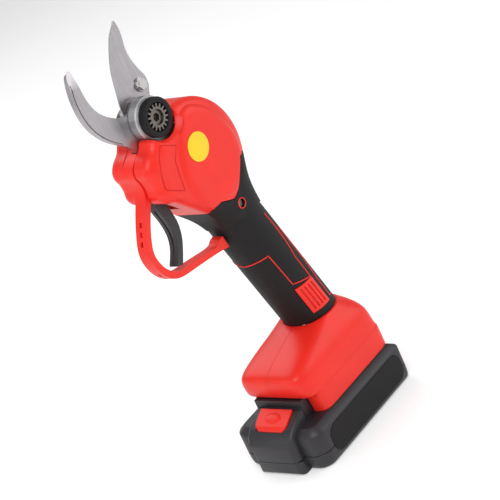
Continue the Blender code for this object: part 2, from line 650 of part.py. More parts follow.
def head_outline():
    """The head in side view, anticlockwise from the top of its nose."""
    nose = smooth([(-52.0, 258.2), (-55.5, 254.0), (-61.5, 250.6), (-65.6, 246.3), (-66.6, 241.4),
                   (-64.8, 236.4), (-64.0, 230.5), (-64.6, 224.5), (-61.5, 219.0), (-53.0, 213.4),
                   (-44.0, 204.4), (-37.5, 197.6), (-31.5, 191.0), (-24.8, 182.0), (-20.2, 172.0)], 2)
    back = smooth([(20.6, 172.0), (17.6, 182.5), (16.8, 191.5), (17.4, 200.5)], 2)
    dome = arc((HEAD_CENTRE_X, HEAD_CENTRE_Z), HEAD_RADIUS, -21, 96, 18)
    top = [(-33.0, 265.0), (-42.5, 261.4)]
    return nose + back + dome + top


def boundary(raised=0.0):
    """The stepped line between the red head and the black grip, moved up or down."""
    line = [(60.0, 211.5), (7.5, 211.5), (6.0, 209.0), (-7.5, 191.5), (-11.0, 190.4), (-24.5, 196.3),
            (-29.5, 195.6), (-35.0, 191.6), (-60.0, 190.5)]
    return [(x, z + raised) for x, z in line]


OUTER_LAYERS = [(1.0, NOSE_HALF_WIDTH - 2.5), (0.985, NOSE_HALF_WIDTH), (0.95, NOSE_HALF_WIDTH + 2.0),
                (0.89, HEAD_HALF_WIDTH - 1.2), (0.82, HEAD_HALF_WIDTH)]
LAYER_CENTRE = (-24.0, 221.0)


THROAT_SECTIONS = [    # height, front, back, half width, squareness
    (164.0, -18.6, 22.6, 19.6, 2.0), (172.0, -21.6, 21.0, 19.7, 2.1), (182.0, -27.0, 18.9, 19.8, 2.5),
    (192.0, -36.0, 18.4, 20.0, 3.0), (202.0, -50.0, 18.6, 21.0, 4.0), (214.0, -70.0, 22.0, 22.0, 5.0),
    (225.0, -74.0, 25.5, 26.0, 7.0), (236.0, -80.0, 32.0, 30.0, 9.0), (280.0, -84.0, 32.0, 30.0, 9.0),
]


def casing_solid(name, smaller=0.0):
    """The head filled in and drawn in towards the handle, or the same shape smaller by a wall."""
    outline = head_outline() if smaller == 0 else inset(head_outline(), smaller)
    layers = [(scale, half - smaller) for scale, half in OUTER_LAYERS]
    solid = pillow(name, outline, layers, LAYER_CENTRE, None if smaller else RED, cutters if smaller else parts)
    rings = [oval((front + back) / 2, (back - front) / 2 - smaller, half - smaller, z, power, 32)
             for z, front, back, half, power in THROAT_SECTIONS]
    boolean(solid, loft("throat", rings, None, cutters), "INTERSECT")
    return solid


def core_solid(name, smaller, low, high, collection=cutters):
    heights = [low + (high - low) * i / 4 for i in range(5)]
    return loft(name, [handle_section(z, smaller) for z in heights], None, collection)


FOOT_SECTIONS = [      # height, front, back, half width, squareness
    (FOOT_BOTTOM, -28.0, 54.5, 32.3, 9.0),
    (FOOT_OPENING - 1.0, -29.5, 55.6, 31.4, 8.0),
    (FOOT_OPENING + 0.4, -34.0, 55.6, 31.2, 7.0),
    (58.0, -38.0, 55.2, 29.0, 5.5),
    (63.5, -37.0, 54.0, 27.0, 4.5),
    (67.5, -26.0, 52.2, 25.0, 3.6),
    (71.5, -10.0, 50.0, 22.6, 2.8),
    (GRIP_BOTTOM_Z - GAP, 5.4, 47.9, 20.6, 2.2),
]


def foot_solid(name, smaller, collection=cutters, material=None):
    rings = []
    for z, front, back, half, power in FOOT_SECTIONS:
        rings.append(oval((front + back) / 2, (back - front) / 2 - smaller, half - smaller, z, power, 32))
    if smaller:
        rings.insert(0, [(x, y, z - 5) for x, y, z in rings[0]])
    return loft(name, rings, material, collection)


GUARD_OUTER = [(-52.4, 257.8), (-56.0, 253.6), (-61.8, 250.2), (-66.2, 246.3), (-67.2, 241.4), (-65.6, 236.0),
               (-65.2, 230.5), (-67.6, 224.8), (-73.0, 217.0), (-78.6, 208.0), (-83.4, 198.0), (-84.2, 189.0),
               (-81.0, 179.0), (-75.0, 171.2), (-66.5, 167.0), (-50.0, 164.4), (-30.0, 161.2), (-19.0, 158.6)]
GUARD_INNER = [(-20.6, 168.0), (-24.5, 167.4), (-30.0, 165.4), (-50.0, 168.6), (-65.0, 171.2), (-71.8, 174.8),
               (-77.0, 181.2), (-79.6, 189.4), (-79.0, 196.4), (-74.8, 205.4), (-69.2, 214.0), (-64.0, 221.0),
               (-60.4, 226.5), (-59.4, 232.0), (-60.6, 238.0), (-61.0, 242.0), (-58.0, 246.2), (-52.0, 249.6)]


def make_guard():
    outline = smooth(GUARD_OUTER, 2) + smooth(GUARD_INNER, 2)
    guard = plate("trigger_guard", [outline], -GUARD_WIDTH / 2, GUARD_WIDTH / 2, RED)
    blade_gap = [(-62.5, 263.0), (-58.8, 256.8), (-54.8, 248.4), (-48.0, 243.0), (-44.0, 263.0)]
    cut(guard, plate("blade_gap", [blade_gap], -GUARD_WIDTH, 2.6, None, cutters))
    for place, along in guard_slots():
        half = Vector(along) * 1.7
        side = Vector((-along[1], along[0])) * 2.2
        centre = Vector(place)
        slot = [tuple(centre + half + side), tuple(centre - half + side),
                tuple(centre - half - side), tuple(centre + half - side)]
        cut(guard, plate("slot", [slot], -0.9, 0.9, None, cutters))
    return guard


def guard_slots():
    """Places and directions of the small slots along the guard's outer face."""
    line = [(-76.0, 212.2), (-79.0, 207.0), (-81.6, 201.4), (-79.6, 176.8), (-76.2, 172.6), (-72.0, 169.6)]
    for place, other in zip(line, [line[1], line[2], line[1], line[4], line[5], line[4]]):
        along = Vector(other) - Vector(place)
        yield place, tuple(along.normalized())


def make_casings():
    head = casing_solid("casing")
    for side in (-1, 1):
        panel_start = side * (HEAD_HALF_WIDTH - 4)
        panel = [(0, 0), (ROUND_PANEL_RADIUS + 3, 0), (ROUND_PANEL_RADIUS + 1.6, 4.4),
                 (ROUND_PANEL_RADIUS, 4 + ROUND_PANEL_HEIGHT), (0, 4 + ROUND_PANEL_HEIGHT)]
        join(head, turned("round_panel", panel, (HEAD_CENTRE_X, panel_start, HEAD_CENTRE_Z), (0, side, 0),
                          None, 32, cutters))
    lower = [(x, z) for x, z in boundary()] + [(-60.0, 100.0), (60.0, 100.0)]
    upper_gap = [(x, z) for x, z in boundary(-2 * GAP)] + [(-90.0, 190.5), (-90.0, 300.0), (60.0, 300.0)]
    grip = bpy.data.objects.new("grip", head.data.copy())
    parts.objects.link(grip)
    grip.data.materials.clear()
    grip.data.materials.append(BLACK.copy())

    # the red casing: head, handle core and foot
    cut(head, plate("below", [lower], -60, 60, None, cutters))
    join(head, core_solid("core", GRIP_THICKNESS, GRIP_BOTTOM_Z - 6, 204.0))
    join(head, foot_solid("foot", 0))
    hollow = casing_solid("hollow", CASING_WALL)
    hollow_floor = [(x, z) for x, z in boundary(CASING_WALL)] + [(-90.0, 100.0), (60.0, 100.0)]
    cut(hollow, plate("hollow_floor", [hollow_floor], -60, 60, None, cutters))
    cut(head, hollow)
    cut(head, core_solid("core_hollow", GRIP_THICKNESS + CASING_WALL, 60.0, 212.0))
    cut(head, foot_solid("foot_hollow", CASING_WALL + 0.2))
    cut(head, box("pack_mouth", (-70, -NECK_HALF_WIDTH - 2 * GAP, 20), (0, NECK_HALF_WIDTH + 2 * GAP, FOOT_OPENING),
                  None, 0, cutters))
    cut(head, rod("motor_room", on_drive(24), on_drive(99), MOTOR_RADIUS + 1.2, None, 32, cutters))

    # room for the blades, the boss, the sector gear and the pivot bolt
    strip_back = [(x + GAP, z - GAP) for x, z in GUARD_INNER[-7:]]
    front_room = [(-90, 216)] + strip_back + [(-45, 241), (-26, 243), (-21, 258), (-19, 300), (-90, 300)]
    cut(head, plate("front_room", [front_room], FIXED_NEAR_Y - 0.5, GUARD_WIDTH / 2 + 0.5, None, cutters))
    cut(head, cross_rod("boss_room", *PIVOT, -60, FIXED_NEAR_Y + 0.6, BOSS_RADIUS + 3.2, None, 36, cutters))
    cut(head, cross_rod("sector_room", *PIVOT, 3.4, SECTOR_BACK_Y + 1.1, BEVEL_OUTER + 0.9, None, 44, cutters))
    cut(head, cross_rod("hub_room", *PIVOT, 4, 60, 10.5, None, 32, cutters))

    # room for the trigger
    slot = [(-66, 232), (-66, 205), (-50, 200), (-42, 205), (-45, 214), (-49, 232)]
    cut(head, plate("trigger_slot", [slot], -TRIGGER_WIDTH / 2 - 0.5, TRIGGER_WIDTH / 2 + 0.5, None, cutters))

    # the black grip
    cut(grip, plate("above", [upper_gap], -60, 60, None, cutters))
    join(grip, core_solid("grip_tube", 0, GRIP_BOTTOM_Z, 186.0))
    cut(grip, core_solid("grip_bore", GRIP_THICKNESS - GAP, 60, 215.0))
    return head, grip



# ---- trigger, grip details and fasteners ----

def make_trigger():
    front = smooth([(-60.4, 221.0), (-60.4, 213.0), (-58.2, 204.0), (-57.0, 196.0), (-57.6, 189.0),
                    (-60.4, 182.4), (-66.4, 174.6)], 2)
    back = smooth([(-61.2, 172.8), (-54.2, 183.4), (-51.2, 190.0), (-49.8, 197.5), (-50.4, 205.0),
                   (-51.4, 213.0), (-51.6, 220.0)], 2)
    hub = arc((TRIGGER_PIN_X, TRIGGER_PIN_Z), 4.0, -10, 190, 7)
    pin_place = (TRIGGER_PIN_X, TRIGGER_PIN_Z)
    half = TRIGGER_WIDTH / 2
    trigger = plate("trigger", [front + back + hub, circle(pin_place, TRIGGER_PIN_RADIUS + 0.2, 16)],
                    -half, half, DARK)
    cut(trigger, cross_rod("magnet_seat", *MAGNET_PLACE, half - 2.0, half + 1, MAGNET_RADIUS + GAP, None, 16, cutters))
    magnet = cross_rod("trigger_magnet", *MAGNET_PLACE, half - 1.7, half - 0.2, MAGNET_RADIUS, BRIGHT, 16)
    pin = cross_rod("trigger_pin", *pin_place, -9.5, 9.5, TRIGGER_PIN_RADIUS, BRIGHT, 16)
    return trigger, magnet, pin


def make_trigger_spring():
    """A torsion spring round the trigger's pin, beside the trigger."""
    turns, radius, steps = 3, 3.0, 9
    start_y, end_y = TRIGGER_WIDTH / 2 + 1.6, TRIGGER_WIDTH / 2 + 4.6
    points = [(TRIGGER_PIN_X + radius, start_y, TRIGGER_PIN_Z + 6.5)]
    for i in range(turns * steps + 1):
        angle = 2 * math.pi * i / steps
        y = start_y + (end_y - start_y) * i / (turns * steps)
        points.append((TRIGGER_PIN_X + radius * math.cos(angle), y, TRIGGER_PIN_Z + radius * math.sin(angle)))
    points.append((TRIGGER_PIN_X + radius, end_y, TRIGGER_PIN_Z - 6.5))
    return wire("trigger_spring", points, SPRING_WIRE_RADIUS, BRIGHT)


def make_sensor_board():
    return box("sensor_board", (-52.2, 7.6, 216.5), (-41.0, 9.0, 225.5), GREEN)


def make_label():
    start = (LABEL_PLACE[0], -ROUND_PANEL_Y - 0.1, LABEL_PLACE[1])
    profile = [(0, 0), (LABEL_RADIUS, 0), (LABEL_RADIUS, LABEL_THICKNESS), (0, LABEL_THICKNESS)]
    return turned("round_label", profile, start, (0, -1, 0), YELLOW, 32)


def curved_patch(name, low, high, start, end, inner, outer, material, collection=parts, steps=6, levels=3):
    """A patch of the handle's skin, between two heights and two angles round its centre line."""
    rings = []
    for k in range(levels):
        z = low + (high - low) * k / (levels - 1)
        ring = []
        for smaller, order in ((outer, range(steps + 1)), (inner, range(steps, -1, -1))):
            for i in order:
                angle = math.radians(start + (end - start) * i / steps)
                ring.append((handle_x(z) + (HANDLE_HALF_DEPTH - smaller) * math.cos(angle),
                             (HANDLE_HALF_WIDTH - smaller) * math.sin(angle), z))
        rings.append(ring)
    return loft(name, rings, material, collection)


def mirrored(name, source, collection=parts):
    """A copy of a piece on the other side of the middle plane."""
    mesh = source.data.copy()
    mesh.transform(Matrix.Scale(-1, 4, (0, 1, 0)))
    mesh.flip_normals()
    return add_mesh(name, mesh, source.data.materials[0], collection)


def make_inserts():
    """The ribbed red windows low on each side of the grip, with the pockets that hold them."""
    start, end = INSERT_START_DEG, INSERT_END_DEG
    window = curved_patch("window", INSERT_LOW - GAP, INSERT_HIGH + GAP, start - 1.0, end + 1.0,
                          INSERT_DEPTH + GAP, -2.0, RED, cutters)
    insert = curved_patch("grip_insert_left", INSERT_LOW, INSERT_HIGH, start, end, INSERT_DEPTH, -0.5, RED)
    for k in range(4):
        middle = start + (end - start) * (k + 1) / 5
        cut(insert, curved_patch("groove", INSERT_LOW + 2.2, INSERT_HIGH - 2.2, middle - 1.6, middle + 1.6,
                                 0.6, -1.5, None, cutters, 1, 2))
    mirrored("grip_insert_right", insert)
    cut(bpy.data.objects["grip_right"], mirrored("window", window, cutters))
    cut(bpy.data.objects["grip_left"], window)


def make_casing_screws():
    """One screw from the -Y side, where it shows, and four from the other side."""
    places = [(-6.6, 184.2, -1, 16.2, 14.2), (3.0, 240.0, 1, 15.4, -3.0), (4.0, 118.0, 1, 10.6, -3.0),
              (44.0, 52.0, 1, 20.0, -3.0)]
    halves = {-1: "left", 1: "right"}
    for number, (x, z, side, seat, reach) in enumerate(places, 1):
        near = side * seat
        far = side * reach
        start, end = sorted((near, near + side * 2.0))
        screw = cross_rod(f"casing_screw_{number}", x, z, *sorted((near + side * 0.5, far)),
                          SCREW_SHANK_RADIUS, BRIGHT, 12)
        join(screw, cross_rod("screw_head", x, z, start, end, SCREW_HEAD_RADIUS, None, 16, cutters))
        for half_name in (f"housing_{halves[side]}", f"grip_{halves[side]}"):
            half = bpy.data.objects[half_name]
            cut(half, cross_rod("head_bore", x, z, *sorted((side * (seat - GAP), side * 60)),
                                SCREW_HEAD_RADIUS + 0.4, None, 16, cutters))
        for half_name in ("housing_left", "housing_right"):
            half = bpy.data.objects[half_name]
            cut(half, cross_rod("shank_bore", x, z, *sorted((side * 58, far - side)),
                                SCREW_SHANK_RADIUS + GAP, None, 11, cutters))


# ---- electronics ----

def make_electronics():
    low, high = BOARD_LOW, BOARD_HIGH
    lean = math.atan(HANDLE_LEAN)
    for name, thickness, forward, half, material in (("controller_board", 1.6, -2.0, 12.0, GREEN),
                                                     ("heat_sink", 5.0, 2.0, 10.0, ALUMINIUM)):
        outline = [(handle_x(z) + forward + across * math.cos(lean), z)
                   for across, z in ((0, low), (thickness, low), (thickness, high), (0, high))]
        board = plate(name, [outline], -half, half, material)
        if name == "heat_sink":
            for k in range(5):
                y = -8.0 + 4.0 * k
                fin = [(handle_x(z) + forward + across, z) for across, z in
                       ((1.8, low - 2), (8.0, low - 2), (8.0, high + 2), (1.8, high + 2))]
                cut(board, plate("fin_gap", [fin], y - 1.0, y + 1.0, None, cutters))
    block = box("terminal_block", (NECK_REAR + 3.0, -16.0, 33.0), (NECK_REAR + 23.0, 16.0, 45.0), DARK, 0.8)
    for number, side in enumerate((-1, 1), 1):
        y = side * CONTACT_SPACING / 2
        blade = (NECK_REAR - 9.0, y - 0.4, 36.0), (NECK_REAR + 8.0, y + 0.4, 42.0)
        cut(block, box("blade_slot", (blade[0][0], y - 0.7, 35.7), (blade[1][0] + GAP, y + 0.7, 42.3), None, 0, cutters))
        box(f"terminal_blade_{number}", *blade, COPPER)
    for name, y, material in (("battery_lead_red", -5.0, RED), ("battery_lead_black", 5.0, BLACK)):
        points = [(NECK_REAR + 16.0, y, 45.4), (NECK_REAR + 16.0, y, 50.0), (NECK_REAR + 14.0, y, 58.0),
                  (NECK_REAR + 10.0, y, 66.0), (NECK_REAR + 6.0, y, 74.0), (NECK_REAR + 2.5, y, 82.0),
                  (NECK_REAR + 0.0, y, 91.0)]
        wire(name, smooth(points, 2), WIRE_RADIUS, material)


# ---- battery pack ----

def pack_outline(smaller=0.0):
    """The pack from above: rounded cheeks at the front and small corners at the rear."""
    rear, front, half = PACK_REAR - smaller, PACK_FRONT + smaller, PACK_HALF_WIDTH - smaller
    cheek, corner = 11.0 - smaller, 5.0 - smaller
    points = arc((rear - corner, half - corner), corner, 0, 90, 4)
    points += arc((front + cheek, half - cheek), cheek, 90, 180, 6)
    points += arc((front + cheek, cheek - half), cheek, 180, 270, 6)
    points += arc((rear - corner, corner - half), corner, 270, 360, 4)
    return points


def pack_layers(name, layers, material, collection=parts):
    rings = []
    for z, smaller in layers:
        rings.append([(x, y, z) for x, y in pack_outline(smaller)])
    return loft(name, rings, material, collection)


LATCH_PROFILE = [(-30.0, PACK_SEAM_HEIGHT + GAP), (-30.0, 39.8), (-40.0, 38.6), (-53.0, 32.6), (-58.0, 28.2),
                 (-60.6, 22.4), (LATCH_FRONT, PACK_SEAM_HEIGHT + GAP)]


def make_pack():
    lower = pack_layers("pack_lower_case", [(0.0, 2.4), (1.2, 1.0), (3.2, 0.3), (PACK_SEAM_HEIGHT, 0.0)], DARK)
    tray_front = [(LATCH_FRONT + 3.0, 0.0), (LATCH_FRONT + 0.6, 2.6), (LATCH_FRONT, PACK_SEAM_HEIGHT),
                  (-40.0, PACK_SEAM_HEIGHT), (-40.0, 0.0)]
    join(lower, plate("tray_front", [tray_front], -LATCH_HALF_WIDTH, LATCH_HALF_WIDTH, None, cutters))
    inner = [(z, PACK_WALL) for z in (PACK_WALL, 20.0)]
    cut(lower, pack_layers("tray_hollow", inner, None, cutters))

    upper = pack_layers("pack_upper_case", [(PACK_SEAM_HEIGHT + GAP, 0.0), (PACK_SIDE_HEIGHT - 1.0, 0.0),
                                            (PACK_SIDE_HEIGHT, 0.5), (PACK_TOP - 0.6, PACK_BEVEL - 0.6),
                                            (PACK_TOP, PACK_BEVEL)], DARK)
    join(upper, plate("latch_block", [LATCH_PROFILE], -LATCH_HALF_WIDTH, LATCH_HALF_WIDTH, None, cutters))
    join(upper, box("neck", (NECK_FRONT, -NECK_HALF_WIDTH, PACK_SIDE_HEIGHT), (NECK_REAR, NECK_HALF_WIDTH, NECK_TOP),
                    None, 0.8, cutters))
    cell_top = CELL_HEIGHT + CELL_RADIUS
    cut(upper, pack_layers("cell_room", [(0.0, PACK_WALL), (cell_top + 0.8, PACK_WALL)], None, cutters))
    cut(upper, box("neck_room", (NECK_FRONT + 12.0, -18.0, cell_top - 2), (NECK_REAR - 13.0, 18.0, NECK_TOP - 2.2),
                   None, 0, cutters))
    for side in (-1, 1):
        y = side * CONTACT_SPACING / 2
        cut(upper, box("contact_slot", (NECK_REAR - 16.0, y - 1.5, 34.8), (NECK_REAR + 4.0, y + 1.5, 43.2),
                       None, 0, cutters))

    # the latch button in its pocket, which is deep enough for the button's travel
    rear, front, base = BUTTON_REAR, BUTTON_FRONT, BUTTON_BASE_Z
    slope = (LATCH_PROFILE[2][1] - LATCH_PROFILE[3][1]) / (LATCH_PROFILE[2][0] - LATCH_PROFILE[3][0])
    top = LATCH_PROFILE[2][1] + BUTTON_PROUD
    low = base - BUTTON_TRAVEL - GAP
    lip = front - 0.6
    pocket = [(rear + GAP, 60.0), (rear + GAP, low), (lip - GAP, low), (lip - GAP, 60.0)]
    cut(upper, plate("button_pocket", [pocket], -BUTTON_HALF_WIDTH - GAP, BUTTON_HALF_WIDTH + GAP, None, cutters))
    fall = slope * (rear - front - 1.4)
    button_profile = [(rear, base), (rear, top), (front + 1.4, top - fall), (lip, top - fall - 1.8), (lip, base)]
    button = plate("latch_button", [button_profile], -BUTTON_HALF_WIDTH, BUTTON_HALF_WIDTH, RED)
    return lower, upper, button


def make_cells():
    middle = (PACK_FRONT + PACK_REAR) / 2 + 1.0
    places = [middle + (i - (CELL_COUNT - 1) / 2) * CELL_PITCH for i in range(CELL_COUNT)]
    for number, x in enumerate(places, 1):
        cross_rod(f"cell_{number}", x, CELL_HEIGHT, -CELL_LENGTH / 2, CELL_LENGTH / 2, CELL_RADIUS, CELL_BLUE, 24)
    low, high = CELL_HEIGHT - CELL_RADIUS - 0.6, CELL_HEIGHT + CELL_RADIUS + 0.6
    ends = (places[0] - CELL_RADIUS - 1.2, places[-1] + CELL_RADIUS + 1.2)
    frame = [(ends[0], low), (ends[1], low), (ends[1], high), (ends[0], high)]
    for side, name in ((-1, "cell_holder_left"), (1, "cell_holder_right")):
        start, end = sorted((side * 24.0, side * 27.0))
        holder = plate(name, [frame], start, end, DARK)
        for x in places:
            cut(holder, cross_rod("cell_hole", x, CELL_HEIGHT, start - 1, end + 1, CELL_RADIUS + GAP, None, 24, cutters))


def make_pack_electronics():
    box("protection_board", (NECK_FRONT + 13.0, -16.0, 24.0), (NECK_REAR - 14.0, 16.0, 25.6), GREEN)


head, grip = make_casings()
split("casing", head, ("housing_left", "housing_right"))
split("grip", grip, ("grip_left", "grip_right"))
make_guard()
make_trigger()
make_trigger_spring()
make_sensor_board()
make_label()
make_inserts()
make_casing_screws()
make_electronics()
make_pack()
make_cells()
make_pack_electronics()
make_fixed_blade()
make_moving_blade()
make_blade_fasteners()
make_pivot()
make_sector_gear()
make_pinion()
make_bearing()
make_gearbox()
make_motor()
make_gear_housing()
make_blade_screw()
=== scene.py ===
import json
import math

import bmesh
import bpy
from mathutils import Euler, Matrix, Vector


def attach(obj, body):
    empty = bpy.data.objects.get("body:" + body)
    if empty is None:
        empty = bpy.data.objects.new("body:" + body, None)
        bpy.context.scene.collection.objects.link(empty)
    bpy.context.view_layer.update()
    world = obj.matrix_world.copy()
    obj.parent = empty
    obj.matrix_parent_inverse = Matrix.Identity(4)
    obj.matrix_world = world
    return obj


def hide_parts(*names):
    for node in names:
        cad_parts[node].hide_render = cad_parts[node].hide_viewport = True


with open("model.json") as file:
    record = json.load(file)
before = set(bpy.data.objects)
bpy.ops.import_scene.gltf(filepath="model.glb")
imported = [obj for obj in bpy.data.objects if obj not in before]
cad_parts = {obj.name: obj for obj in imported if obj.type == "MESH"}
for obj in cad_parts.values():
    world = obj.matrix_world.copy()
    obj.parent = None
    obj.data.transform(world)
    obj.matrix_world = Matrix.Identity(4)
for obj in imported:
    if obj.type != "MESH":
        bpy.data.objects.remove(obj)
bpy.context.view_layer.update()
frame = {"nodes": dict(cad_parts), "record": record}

mm = 0.001
scene = bpy.context.scene
scene.view_settings.view_transform = "Standard"
nodes = frame["nodes"]

print("camera and light")

cameraView = {
    "place": (-795.14, -859.97, 644.05),        # millimetres
    "turn": (64.73844, 22.91064, -53.18335),    # degrees round x, y and z
    "lens": 136.74, "sensor": 36, "clip": (0.05, 20),
}


def addCamera(view):
    data = bpy.data.cameras.new("camera")
    data.sensor_width, data.lens = view["sensor"], view["lens"]
    data.clip_start, data.clip_end = view["clip"]
    camera = bpy.data.objects.new("camera", data)
    scene.collection.objects.link(camera)
    turn = Euler([math.radians(angle) for angle in view["turn"]])
    camera.matrix_world = Matrix.LocRotScale(Vector(view["place"]) * mm, turn, None)
    scene.camera = camera


studio = {
    "middle": (-0.01, 0.0, 0.16),
    "lamps": [      # name, direction to the lamp, distance, side length, watts
        ("keyLamp", (-0.75, -0.62, 0.95), 1.25, 0.75, 8.2),
        ("fillLamp", (-0.95, 0.45, 0.35), 1.4, 0.9, 3.2),
        ("sideLamp", (0.95, -0.9, 0.5), 1.3, 0.8, 5.0),
        ("backLamp", (0.35, 1.0, 0.9), 1.3, 0.8, 5.0),
    ],
    "world": (1.0, 1.0, 1.0), "worldStrength": 0.42,
}


def addLight(settings):
    for name, direction, distance, size, watts in settings["lamps"]:
        data = bpy.data.lights.new(name, "AREA")
        data.shape = "SQUARE"
        data.size, data.energy = size, watts
        lamp = bpy.data.objects.new(name, data)
        aim = Vector(direction).normalized()
        lamp.location = Vector(settings["middle"]) + aim * distance
        lamp.rotation_mode = "QUATERNION"
        lamp.rotation_quaternion = aim.to_track_quat("Z", "Y")
        scene.collection.objects.link(lamp)
    world = bpy.data.worlds.new("studio")
    world.use_nodes = True
    background = world.node_tree.nodes["Background"]
    background.inputs[0].default_value = (*settings["world"], 1)
    background.inputs[1].default_value = settings["worldStrength"]
    scene.world = world


addCamera(cameraView)
addLight(studio)

print("finishes")


class Value:
    # a node's output that takes part in sums
    def __init__(self, finish, socket):
        self.finish, self.socket = finish, socket

    def math(self, operation, first, second):
        return self.finish.node("ShaderNodeMath", {"operation": operation}, {0: first, 1: second})

    def __add__(self, other):
        return self.math("ADD", self, other)

    __radd__ = __add__

    def __sub__(self, other):
        return self.math("SUBTRACT", self, other)

    def __rsub__(self, other):
        return self.math("SUBTRACT", other, self)

    def __mul__(self, other):
        return self.math("MULTIPLY", self, other)

    __rmul__ = __mul__


class Finish:
    # a material whose nodes are made by one method
    def __init__(self, name, fixed):
        self.material = bpy.data.materials.new(name)
        self.material.use_nodes = True
        self.tree = self.material.node_tree
        self.shader = self.tree.nodes["Principled BSDF"]
        for socket, value in fixed.items():
            self.set(socket, value)
        self.place = self.node("ShaderNodeTexCoord", output="Object")

    def node(self, kind, settings=None, inputs=None, output=0):
        made = self.tree.nodes.new(kind)
        for key, value in (settings or {}).items():
            setattr(made, key, value)
        for key, value in (inputs or {}).items():
            self.feed(made.inputs[key], value)
        return Value(self, made.outputs[output])

    def feed(self, socket, value):
        if isinstance(value, Value):
            self.tree.links.new(value.socket, socket)
        elif socket.type == "RGBA" and len(value) == 3:
            socket.default_value = (*value, 1)
        else:
            socket.default_value = value

    def set(self, socket, value):
        self.feed(self.shader.inputs[socket], value)

    def noise(self, scale, detail=2.0, stretch=None, rough=0.5):
        place = self.place
        if stretch:
            place = self.node("ShaderNodeVectorMath", {"operation": "MULTIPLY"}, {0: place, 1: stretch})
        return self.node("ShaderNodeTexNoise", None,
                         {"Vector": place, "Scale": scale, "Detail": detail, "Roughness": rough})

    def blend(self, share, first, second):
        # a mix of colours has its own inputs, 6 and 7, and its own output, 2
        return self.node("ShaderNodeMix", {"data_type": "RGBA"}, {0: share, 6: first, 7: second}, 2)

    def ease(self, value, low=0.3, high=0.7):
        return self.node("ShaderNodeMapRange", {"interpolation_type": "SMOOTHSTEP"},
                         {0: value, 1: low, 2: high})

    def relief(self, height, depth, edge):
        # fine bumps, over edges that catch the light as if they were rounded
        rounded = self.node("ShaderNodeBevel", {"samples": 4}, {"Radius": edge * mm})
        bumps = {"Distance": depth * mm, "Height": height, "Normal": rounded}
        self.set("Normal", self.node("ShaderNodeBump", None, bumps))


def mouldedPlastic(name, colour, settings, grainRough=0.25, cloudRough=0.12):
    finish = Finish(name, {"IOR": 1.5, "Specular IOR Level": settings["gloss"]})
    cloud = finish.noise(settings["cloudScale"], 3)
    grain = finish.noise(settings["grainScale"])
    darker = [c * settings["dark"] for c in colour]
    finish.set("Base Color", finish.blend(finish.ease(cloud), darker, colour))
    finish.set("Roughness", settings["roughness"] + (grain - 0.5) * grainRough + (cloud - 0.5) * cloudRough)
    finish.relief(grain, settings["grainDepth"], settings["edge"])
    return finish.material


plastics = {
    "red": {"gloss": 0.32, "roughness": 0.38, "cloudScale": 35, "grainScale": 2600, "grainDepth": 0.02,
            "dark": 0.93, "edge": 0.6},
    "dark": {"gloss": 0.5, "roughness": 0.44, "cloudScale": 40, "grainScale": 2200, "grainDepth": 0.05,
             "dark": 0.8, "edge": 0.5},
    "rubber": {"gloss": 0.28, "roughness": 0.62, "cloudScale": 30, "grainScale": 1700, "grainDepth": 0.06,
               "dark": 0.8, "edge": 0.5},
    "label": {"gloss": 0.35, "roughness": 0.42, "cloudScale": 60, "grainScale": 900, "grainDepth": 0.004,
              "dark": 0.96, "edge": 0.1},
}
redPlastic = mouldedPlastic("redPlastic", (0.84, 0.022, 0.012), plastics["red"])
darkPlastic = mouldedPlastic("darkPlastic", (0.019, 0.017, 0.021), plastics["dark"])
gripRubber = mouldedPlastic("gripRubber", (0.0065, 0.0055, 0.006), plastics["rubber"])


def metal(name, colour, settings, cloudScale=60, lineRough=0.3, cloudRough=0.1):
    finish = Finish(name, {"Metallic": 1.0})
    lines = finish.noise(settings["lineScale"], 3, settings["stretch"], 0.6)
    cloud = finish.noise(cloudScale, 3)
    share = settings["lineShare"]
    darker = [c * settings["dark"] for c in colour]
    finish.set("Base Color", finish.blend(finish.ease(cloud * (1 - share) + lines * share), darker, colour))
    finish.set("Roughness", settings["roughness"] + (lines - 0.5) * lineRough + (cloud - 0.5) * cloudRough)
    finish.relief(lines, settings["depth"], settings["edge"])
    return finish.material


metals = {
    "blade": {"lineShare": 0.6, "roughness": 0.36, "lineScale": 700, "stretch": (1.0, 1.0, 0.05),
              "depth": 0.008, "dark": 0.8, "edge": 0.12},
    "dark": {"lineShare": 0.3, "roughness": 0.42, "lineScale": 900, "stretch": (1, 1, 1),
             "depth": 0.01, "dark": 0.7, "edge": 0.25},
    "bright": {"lineShare": 0.3, "roughness": 0.22, "lineScale": 700, "stretch": (0.3, 1, 1),
               "depth": 0.004, "dark": 0.85, "edge": 0.2},
    "cast": {"lineShare": 0.3, "roughness": 0.5, "lineScale": 900, "stretch": (1, 1, 1),
             "depth": 0.04, "dark": 0.85, "edge": 0.4},
    "copper": {"lineShare": 0.3, "roughness": 0.3, "lineScale": 700, "stretch": (0.2, 1, 1),
               "depth": 0.004, "dark": 0.85, "edge": 0.1},
}
bladeSteel = metal("bladeSteel", (0.44, 0.42, 0.44), metals["blade"])
darkSteel = metal("darkSteel", (0.21, 0.19, 0.175), metals["dark"])
brightSteel = metal("brightSteel", (0.52, 0.51, 0.50), metals["bright"])
castAluminium = metal("castAluminium", (0.55, 0.55, 0.56), metals["cast"])
platedCopper = metal("platedCopper", (0.75, 0.43, 0.2), metals["copper"])
yellowFilm = mouldedPlastic("yellowFilm", (0.86, 0.60, 0.012), plastics["label"])
greenBoard = mouldedPlastic("greenBoard", (0.015, 0.12, 0.05), plastics["label"])
blueSleeve = mouldedPlastic("blueSleeve", (0.03, 0.12, 0.35), plastics["label"])
redCable = mouldedPlastic("redCable", (0.5, 0.02, 0.015), plastics["label"])

